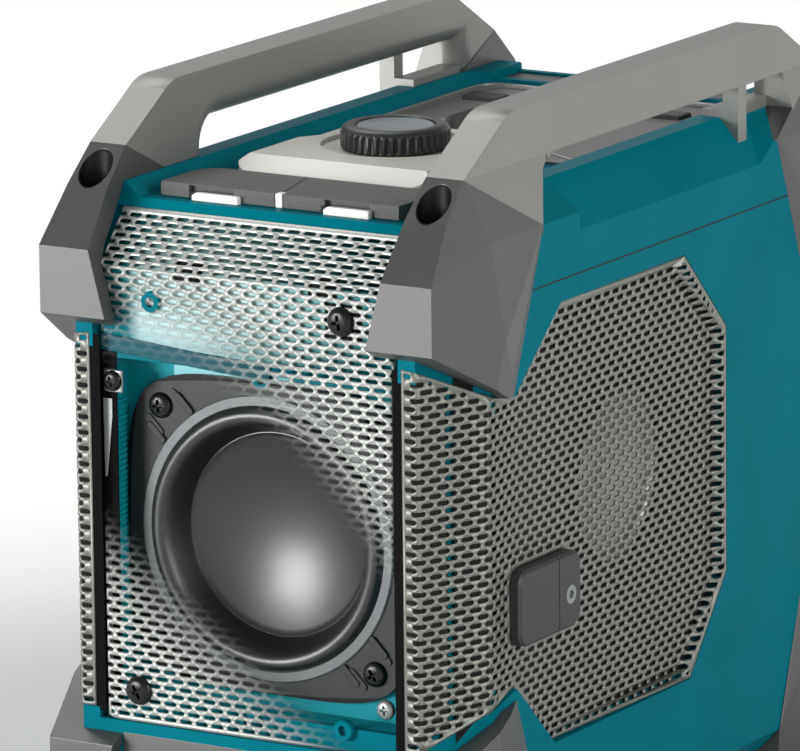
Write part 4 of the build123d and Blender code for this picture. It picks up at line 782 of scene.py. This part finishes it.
# a raised bar with round ends stands on each side of every screw
bar_radius, bar_straight, bar_reach, bar_spread, bar_sides = 1.3, 3.3, 53.2, 8.4, 12
bars = []
for slant in (45, 135, 225, 315):
    c, s = cos(radians(slant)), sin(radians(slant))
    for side in (-1, 1):
        start = radians(slant + bar_spread * side)
        outline = []
        for k in range(bar_sides):
            turn_k = 2 * pi * (k + 0.5) / bar_sides
            out_k = bar_straight * copysign(1, cos(turn_k)) + bar_radius * cos(turn_k)
            side_k = bar_radius * sin(turn_k)
            outline.append((bar_reach * cos(start) + c * out_k - s * side_k,
                            woofer_z + bar_reach * sin(start) + s * out_k + c * side_k))
        bars.append(slab("flange_bar", outline, 1.3, upright(-130.5), basket_paint))
        rounded(bars[-1], 0.4)
fixed(joined(bars, "flange_bars"))


# Screws: pan heads with a pressed cross. Four black ones hold the woofer, two hold the end
# sheet, and one near the opening holds a square washer. A zinc-plated one and teal bosses
# stand round the opening.
def screw_head(name, radius, height, material):
    """A pan head with a cross recess, along +Z from its own origin."""
    profile = flowing([(0.0, height), (radius * 0.55, height * 0.93),
                       (radius * 0.88, height * 0.62), (radius, height * 0.18),
                       (radius, 0.0)], 4)
    head = turned(name, profile + [(0.0, -0.6)], material, lambda a, b, h: (a, b, h), 48)
    arm, web = radius * 0.62, radius * 0.15
    cross = [(arm, -web), (arm, web), (web, web), (web, arm), (-web, arm), (-web, web),
             (-arm, web), (-arm, -web), (-web, -web), (-web, -arm), (web, -arm), (web, -web)]

    def tapered(a, b, c):
        """The recess narrows to about half at its foot."""
        wide = 0.55 + 0.45 * c / height
        return a * wide, b * wide, height * 0.35 + c

    carved = carve(head, slab("cutter", cross, height, tapered, material))
    carved.name = name
    return carved


def carve(body, cutter):
    """Cuts one piece out of another, and gives the mesh that is left."""
    cut = body.modifiers.new("cut", "BOOLEAN")
    cut.operation = "DIFFERENCE"
    cut.object = cutter
    carved = bpy.data.meshes.new_from_object(
        body.evaluated_get(bpy.context.evaluated_depsgraph_get()))
    bpy.data.objects.remove(cutter)
    bpy.data.objects.remove(body)
    return carved


def driven(name, mesh, spots):
    """Copies of a screw that face the end, at (x, y, z, spin) spots, joined into one piece."""
    to_front = Matrix.Rotation(radians(90), 4, "X")
    copies = []
    for x, y, z, spin in spots:
        data = mesh.copy()
        data.transform(Matrix.Translation((x * MM, y * MM, z * MM)) @ to_front
                       @ Matrix.Rotation(radians(spin), 4, "Z"))
        copies.append(new_object(name, data))
    return joined(copies, name)


# black oxide: dark steel with small sharp glints. Zinc plate: a grey metal shine
screw_black = moulded("black_oxide_steel", "#1b1c1d", 0.25, 0.3, 0.02, Metallic=0.5)
zinc_plate = moulded("zinc_plated_steel", "#8f9393", 0.34, 0.4, 0.04, Metallic=0.7)
bolt_half = 41.1
fixed(driven("woofer_pan_screws", screw_head("pan_head", 4.4, 2.2, screw_black),
             [(bolt_half * sx, ring_y, woofer_z + bolt_half * sz, 20 + 40 * sx + 25 * sz)
              for sx in (-1, 1) for sz in (-1, 1)]), "woofer_screws")
fixed(driven("grille_pan_screws", screw_head("grille_head", 5.0, 2.6, screw_black),
             [(37.4, -142.2, 204, 10), (-43.4, -142.2, 69.6, 30)]))
washer = slab("square_washer", rectangle(-57.0, 170.2, -49.6, 178.0), 1.2, upright(-140.0),
              zinc_plate)
rounded(washer, 0.9)
fixed(washer)
fixed(driven("washer_screw", screw_head("washer_head", 3.5, 1.8, screw_black),
             [(-53.3, -139.9, 174.2, 15)]))
fixed(driven("corner_screw", screw_head("zinc_head", 3.4, 1.9, zinc_plate),
             [(51.0, -139.2, 74.5, 5)]))
bosses = [turned("screw_boss", [(3.6, 0.0), (3.6, 2.0), (3.2, 2.4), (1.7, 2.4), (1.7, 0.6),
                                (0.0, 0.6), (0.0, 0.0)], abs_teal,
                 lambda a, b, h: (x + a, y - h + 0.2, z + b), 32)
          for x, y, z in ((-36.5, -140.4, 203), (-2, -127.4, 178), (-2, -138.9, 64.2),
                          (35, -138.9, 65.5))]
fixed(joined(bosses, "screw_boss"))
# zinc on iron: a brighter, smoother grey for the magnet
dress("woofer_magnet", moulded("zinc_plated_iron", "#8d9194", 0.4, 0.6, 0.03, Metallic=0.9), 0.8)

# Side speakers: a black frame on a black plate behind each side grille, with a pale metal
# dish that shows between the slots.
# moulded ABS in black: satin, with little shine
inner_black = moulded("moulded_abs_black", "#101112", 0.55, 0.5, 0.05)
dress("side_speaker_left side_speaker_right speaker_plate_left speaker_plate_right "
      "battery_tub power_socket", inner_black, 0.3)
# spun aluminium: a pale metal glow through the sheet
dish_metal = moulded("spun_aluminium", "#c9cccb", 0.38, 0.4, 0.02, Metallic=0.8)
dress("side_cone_left side_cone_right", dish_metal)

# Handles: die-cast alloy under a satin grey paint, screwed down by their legs. The near
# leg is cut back at its outer corner, to end on the corner of the bumper.
# sprayed paint: warm grey with a metallic flake, so slopes go pale and undersides dark
handle_paint = moulded("satin_grey_paint", "#868782", 0.42, 0.35, 0.06, 0.03, Metallic=0.4)
leg_corner = [(79.1, -82.6), (81.0, -82.6), (81.0, -68.0), (72.05, -68.0), (72.05, -70.4)]
for name, side in (("handle_left", -1), ("handle_right", 1)):
    raw = new_object("raw_casting", nodes[name].data.copy())
    raw.matrix_world = nodes[name].matrix_world
    raw.modifiers.new("weld", "WELD").merge_threshold = weld_reach
    cutter = slab("cutter", leg_corner, 60.0, lambda a, b, c: (side * a, b, 200.0 + c),
                  handle_paint)
    casting = carve(raw, cutter)
    casting.materials.clear()
    casting.materials.append(handle_paint)
    handle = new_object(f"{name}_casting", casting)
    handle.matrix_world = nodes[name].matrix_world
    rounded(handle, 1.5, 3, 22)
    fixed(handle, name)

# Bumpers and sills: moulded elastomer over the corners, held by a black socket screw at the
# bottom of a well in each upper bumper, whose wall is drawn near black: painted shade. The
# outer side of an upper bumper is one broad, slightly crowned face.
# elastomer: dark and dull, with a leather grain that lifts it to grey where light grazes
elastomer = moulded("moulded_elastomer", "#383937", 0.42, 0.55, 0.05, 0.14, 0.65, IOR=1.65)
dress(" ".join(name for name in nodes if name.startswith("bumper_low")), elastomer, 0.9, 8)
ridge, tail, brow, nose, crown = [Vector(p) for p in (
    (72.0, 122.0, 250.4), (79.0, 82.5, 229.3), (84.5, 117.0, 197.0), (75.5, 149.0, 219.9),
    (79.0, 116.5, 229.4))]
flat_angle, crease_angle, cut_reach = radians(0.4), radians(7.5), 0.000005
for name, sx, sy in (("bumper_top_near_left", -1, -1), ("bumper_top_near_right", 1, -1),
                     ("bumper_top_far_left", -1, 1), ("bumper_top_far_right", 1, 1)):
    mesh = bmesh.new()
    mesh.from_mesh(nodes[name].data)
    mesh.transform(nodes[name].matrix_world)
    bmesh.ops.remove_doubles(mesh, verts=mesh.verts, dist=weld_reach)
    flip = Matrix.Diagonal((sx * MM, sy * MM, MM))
    for a, b in ((ridge, tail), (tail, brow), (brow, nose), (nose, ridge)):
        a, b, c = flip @ a, flip @ b, flip @ crown
        normal = (b - a).cross(c - a).normalized()
        if normal.x * sx < 0:
            normal.negate()
        cut = bmesh.ops.bisect_plane(mesh, geom=mesh.verts[:] + mesh.edges[:] + mesh.faces[:],
                                     plane_co=a, plane_no=normal, clear_outer=True,
                                     dist=cut_reach)
        rim = [e for e in cut["geom_cut"] if isinstance(e, bmesh.types.BMEdge)]
        bmesh.ops.holes_fill(mesh, edges=rim, sides=0)
    bmesh.ops.dissolve_limit(mesh, angle_limit=flat_angle, verts=mesh.verts, edges=mesh.edges)
    moulding = bpy.data.meshes.new(f"{name}_moulding")
    mesh.to_mesh(moulding)
    mesh.free()
    moulding.materials.append(elastomer)
    moulding.shade_smooth()
    moulding.set_sharp_from_angle(angle=crease_angle)
    bumper = new_object(f"{name}_moulding", moulding)
    rounded(bumper, 0.9, 3, 8)
    fixed(bumper, name)
dress("sill_near sill_far deck_strip", elastomer, 0.5)
dress("bumper_bolts", screw_black, 0.3)
well_x, well_y, well_floor = 65.2, 129.5, 228.3
# near-black sleeves in the wells: painted shade in the recesses
well_shades = []
for sx in (-1, 1):
    for sy in (-1, 1):
        def in_well(a, b, h):
            """Puts a lathe point in a well whose mouth follows the sloping face."""
            top = ridge.z - 0.953 * (well_y + sy * b - ridge.y) - 0.25
            return well_x * sx + a, well_y * sy + b, well_floor + h * (top - well_floor)
        well_shades.append(turned("well_painted_shade", [(5.95, 0.0), (5.95, 1.0), (5.5, 1.0), (5.4, 0.1),
                                            (4.9, 0.03), (3.2, 0.03), (3.2, 0.0)],
                             gasket_rubber, in_well, 48, True))
fixed(joined(well_shades, "well_painted_shades"))

# Port covers: grey rubber flaps over the two sockets, each held by a moulded strip at its
# back. A white divider parts them at the front, and each has a white tab to pull it up by.
# eroded rubber: dull grey with a coarse bright speckle
flap_rubber = moulded("eroded_grey_rubber", "#565856", 0.62, 0.8, 0.5, 0.1)
# moulded ABS in white: clean and satin
white_abs = moulded("moulded_abs_white", "#eceae4", 0.4, 0.5, 0.03)
dress("port_cover_left port_cover_right", flap_rubber, 0.45)
dress("port_divider", white_abs, 0.35)
for name, low_x, high_x in (("left", -32.8, -14.8), ("right", 18.2, 35.7)):
    tab = slab(f"pull_tab_{name}", [(low_x, 231.9), (high_x, 231.9), (high_x, 236.2),
                                    (high_x - 0.5, 236.7), (low_x + 1.6, 236.7), (low_x, 235.6)],
               2.4, upright(-121.6), white_abs)
    rounded(tab, 0.5)
    fixed(tab, f"cover_tab_{name}", f"port_cover_{name}")
    # a flat black patch at each tab's end stands for the shade in the pull notch: painted shade
    notch_shade = slab(f"painted_notch_shade_{name}", [(low_x - 2.2, 233.0), (low_x + 1.0, 233.0),
                                        (low_x + 1.6, 236.6), (low_x - 1.6, 236.6)],
                 0.8, upright(-120.1), gasket_rubber)
    fixed(notch_shade, None, f"port_cover_{name}")
dress("usb_socket audio_socket", inner_black, 0.2)

# Control panel: an ivory ABS moulding, snapped into the deck, that carries the knob in a
# shallow round dish with the encoder under it.
# moulded ABS in ivory: pale and satin, with almost no variation
panel_abs = moulded("moulded_abs_ivory", "#dcdbd3", 0.36, 0.5, 0.03, 0.02)
dress("control_panel", panel_abs, 0.7, 12)
dress("encoder", inner_black, 0.2)

# Knob: black rubber overmoulded on the knob's core, with forty ribs round its side. A slate
# disc is let into its top, and the knob turns on the encoder's shaft.
# overmoulded rubber: black and soft, its ribs drawn by fine highlights
knob_rubber = moulded("overmoulded_rubber", "#242526", 0.42, 0.5, 0.05)
knob_y, knob_ribs, rib_sides, groove_depth = -44.4, 40, 8, 0.95
# radius, height, and how deep the grooves are there
levels = [(0.0, 241.9, 0.0), (18.0, 241.9, 0.0), (18.6, 242.4, 0.8), (18.7, 243.2, 1.0),
          (18.7, 247.0, 1.0), (18.6, 247.6, 0.6), (18.45, 248.1, 0.0), (17.9, 249.0, 0.0),
          (16.9, 249.6, 0.0), (15.4, 249.95, 0.0), (14.4, 249.9, 0.0), (13.7, 249.6, 0.0),
          (13.5, 249.0, 0.0), (13.5, 248.4, 0.0), (0.0, 248.4, 0.0)]


def ribbed(a, b, h):
    """Puts a lathe point on the knob, drawn in where a groove runs."""
    radius, z, rib = levels[h]
    wave = cos(atan2(b, a) * knob_ribs)
    groove = groove_depth * rib * (1 - min(max(0.5 + 1.1 * wave, 0.0), 1.0))
    shrink = (radius - groove) / radius if radius else 0.0
    return a * shrink, knob_y + b * shrink, z


knob = turned("ribbed_knob", [(level[0], k) for k, level in enumerate(levels)], knob_rubber,
              ribbed, knob_ribs * rib_sides, False, 38)
fixed(knob, "knob", "knob")
# slate paint: a cool grey disc with a soft metallic sheen
disc_paint = moulded("slate_paint", "#7d898d", 0.3, 0.4, 0.02, 0.02, Metallic=0.4)
disc = turned("knob_disc", [(0.0, 248.7), (8.0, 248.75), (11.4, 249.0), (12.2, 249.25),
                            (12.9, 249.3), (13.3, 249.05), (13.4, 248.4), (0.0, 248.3)],
              disc_paint, lambda a, b, h: (a, knob_y + b, h))
fixed(disc, "knob_cap", "knob")

# Display: a grey panel with a darker sunk field, a smoked lens, five keys and a bright
# metal trim round its edge.
# moulded ABS in grey: plain and satin
dress("display_bezel", moulded("moulded_abs_grey", "#6c6d69", 0.45, 0.5, 0.05), 0.3)
# smoked acrylic: black and glassy, with sharp reflections
dress("display_lens", moulded("smoked_acrylic", "#0a0b0c", 0.08, 0.4, 0.0), 0.2)
dress("lcd_module", inner_black)
# silicone rubber: soft black keys without glints
key_rubber = moulded("silicone_rubber_dark", "#2e2f30", 0.5, 0.4, 0.05)
dress("key_1 key_2 key_3 key_4 key_5", key_rubber, 0.5)
# satin nickel: a thin bright line
bright_trim = moulded("satin_nickel_plate", "#c4c6c4", 0.3, 0.4, 0.02, Metallic=0.8)
trim_half, trim_near, trim_far, trim_round = 50.9, -13.0, 103.7, 9.7
trim_line = [(trim_half, trim_near)] + arc(trim_half - trim_round, trim_far - trim_round,
                                           trim_round, 0, 90, 10)
trim_line += [(-x, y) for x, y in reversed(trim_line)]
trim_section = [(-0.1, 234.7), (-0.1, 235.35), (0.9, 235.35), (0.9, 234.7)]
verts, faces = [], []
for i, (x, y) in enumerate(trim_line):
    before = Vector(trim_line[max(i - 1, 0)])
    after = Vector(trim_line[min(i + 1, len(trim_line) - 1)])
    way = (after - before).normalized()
    verts += [(x - way.y * off, y + way.x * off, z) for off, z in trim_section]
for i in range(len(trim_line) - 1):
    for k in range(4):
        m = (k + 1) % 4
        faces.append((4 * i + k, 4 * i + m, 4 * i + 4 + m, 4 * i + 4 + k))
last = 4 * (len(trim_line) - 1)
faces += [(0, 1, 2, 3), (last + 3, last + 2, last + 1, last)]
trim = mesh_object("display_trim", verts, faces, bright_trim)
tidy_normals(trim)
fixed(trim)
# the near corners of the field are marked off by a bright line each
corner_line = [(36.0, -1.75), (50.6, -10.15), (50.6, -9.25), (36.0, -0.85)]
lines = [slab("corner_line", [(side * a, b) for a, b in corner_line], 0.5,
              lambda a, b, c: (a, b, 234.75 + c), bright_trim) for side in (-1, 1)]
fixed(joined(lines, "corner_lines"))

# Power socket cover: a soft black flap with its strap, held by a zinc-plated button screw
# with a hexagon socket. It stands in the cut-out of the right side sheet.
# moulded rubber: black going to grey at its rounded edges
flap_black = moulded("moulded_rubber_black", "#2f3030", 0.48, 0.5, 0.08)
dress("power_cover", flap_black, 1.3, 20)
dress("cover_strap", flap_black, 1.0, 20)
dress("cover_screw", zinc_plate, 0.25)

# Seam: a thin black strip of the gasket rubber lies between the two mouldings along each
# wall and stands for the shade in the seam: painted shade.
for name, side in (("left", -1), ("right", 1)):
    seam = slab(f"painted_seam_shade_{name}", rectangle(-112.0, 208.25, 112.0, 208.75), 0.5,
                lambda a, b, c: (side * (78.06 + c), a, b), gasket_rubber)
    fixed(seam)

# Inside the battery bay and the housing: the door's catch, moulded in ABS, two boards on
# posts, and the battery's terminal block, screwed to the tub.
dress("door_catch", inner_black, 0.4)
# epoxy glass board: green under a smooth lacquer
board_green = moulded("epoxy_glass_board", "#1d5a34", 0.4, 0.5, 0.03)
dress("amplifier_board control_board", board_green, 0.2)
# nylon: black and matt
dress("battery_terminal", moulded("moulded_nylon_black", "#17181a", 0.5, 0.5, 0.05), 0.3)

low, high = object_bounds()
{"cad": [list(cad_low), list(cad_high)], "visual": [list(low), list(high)]}
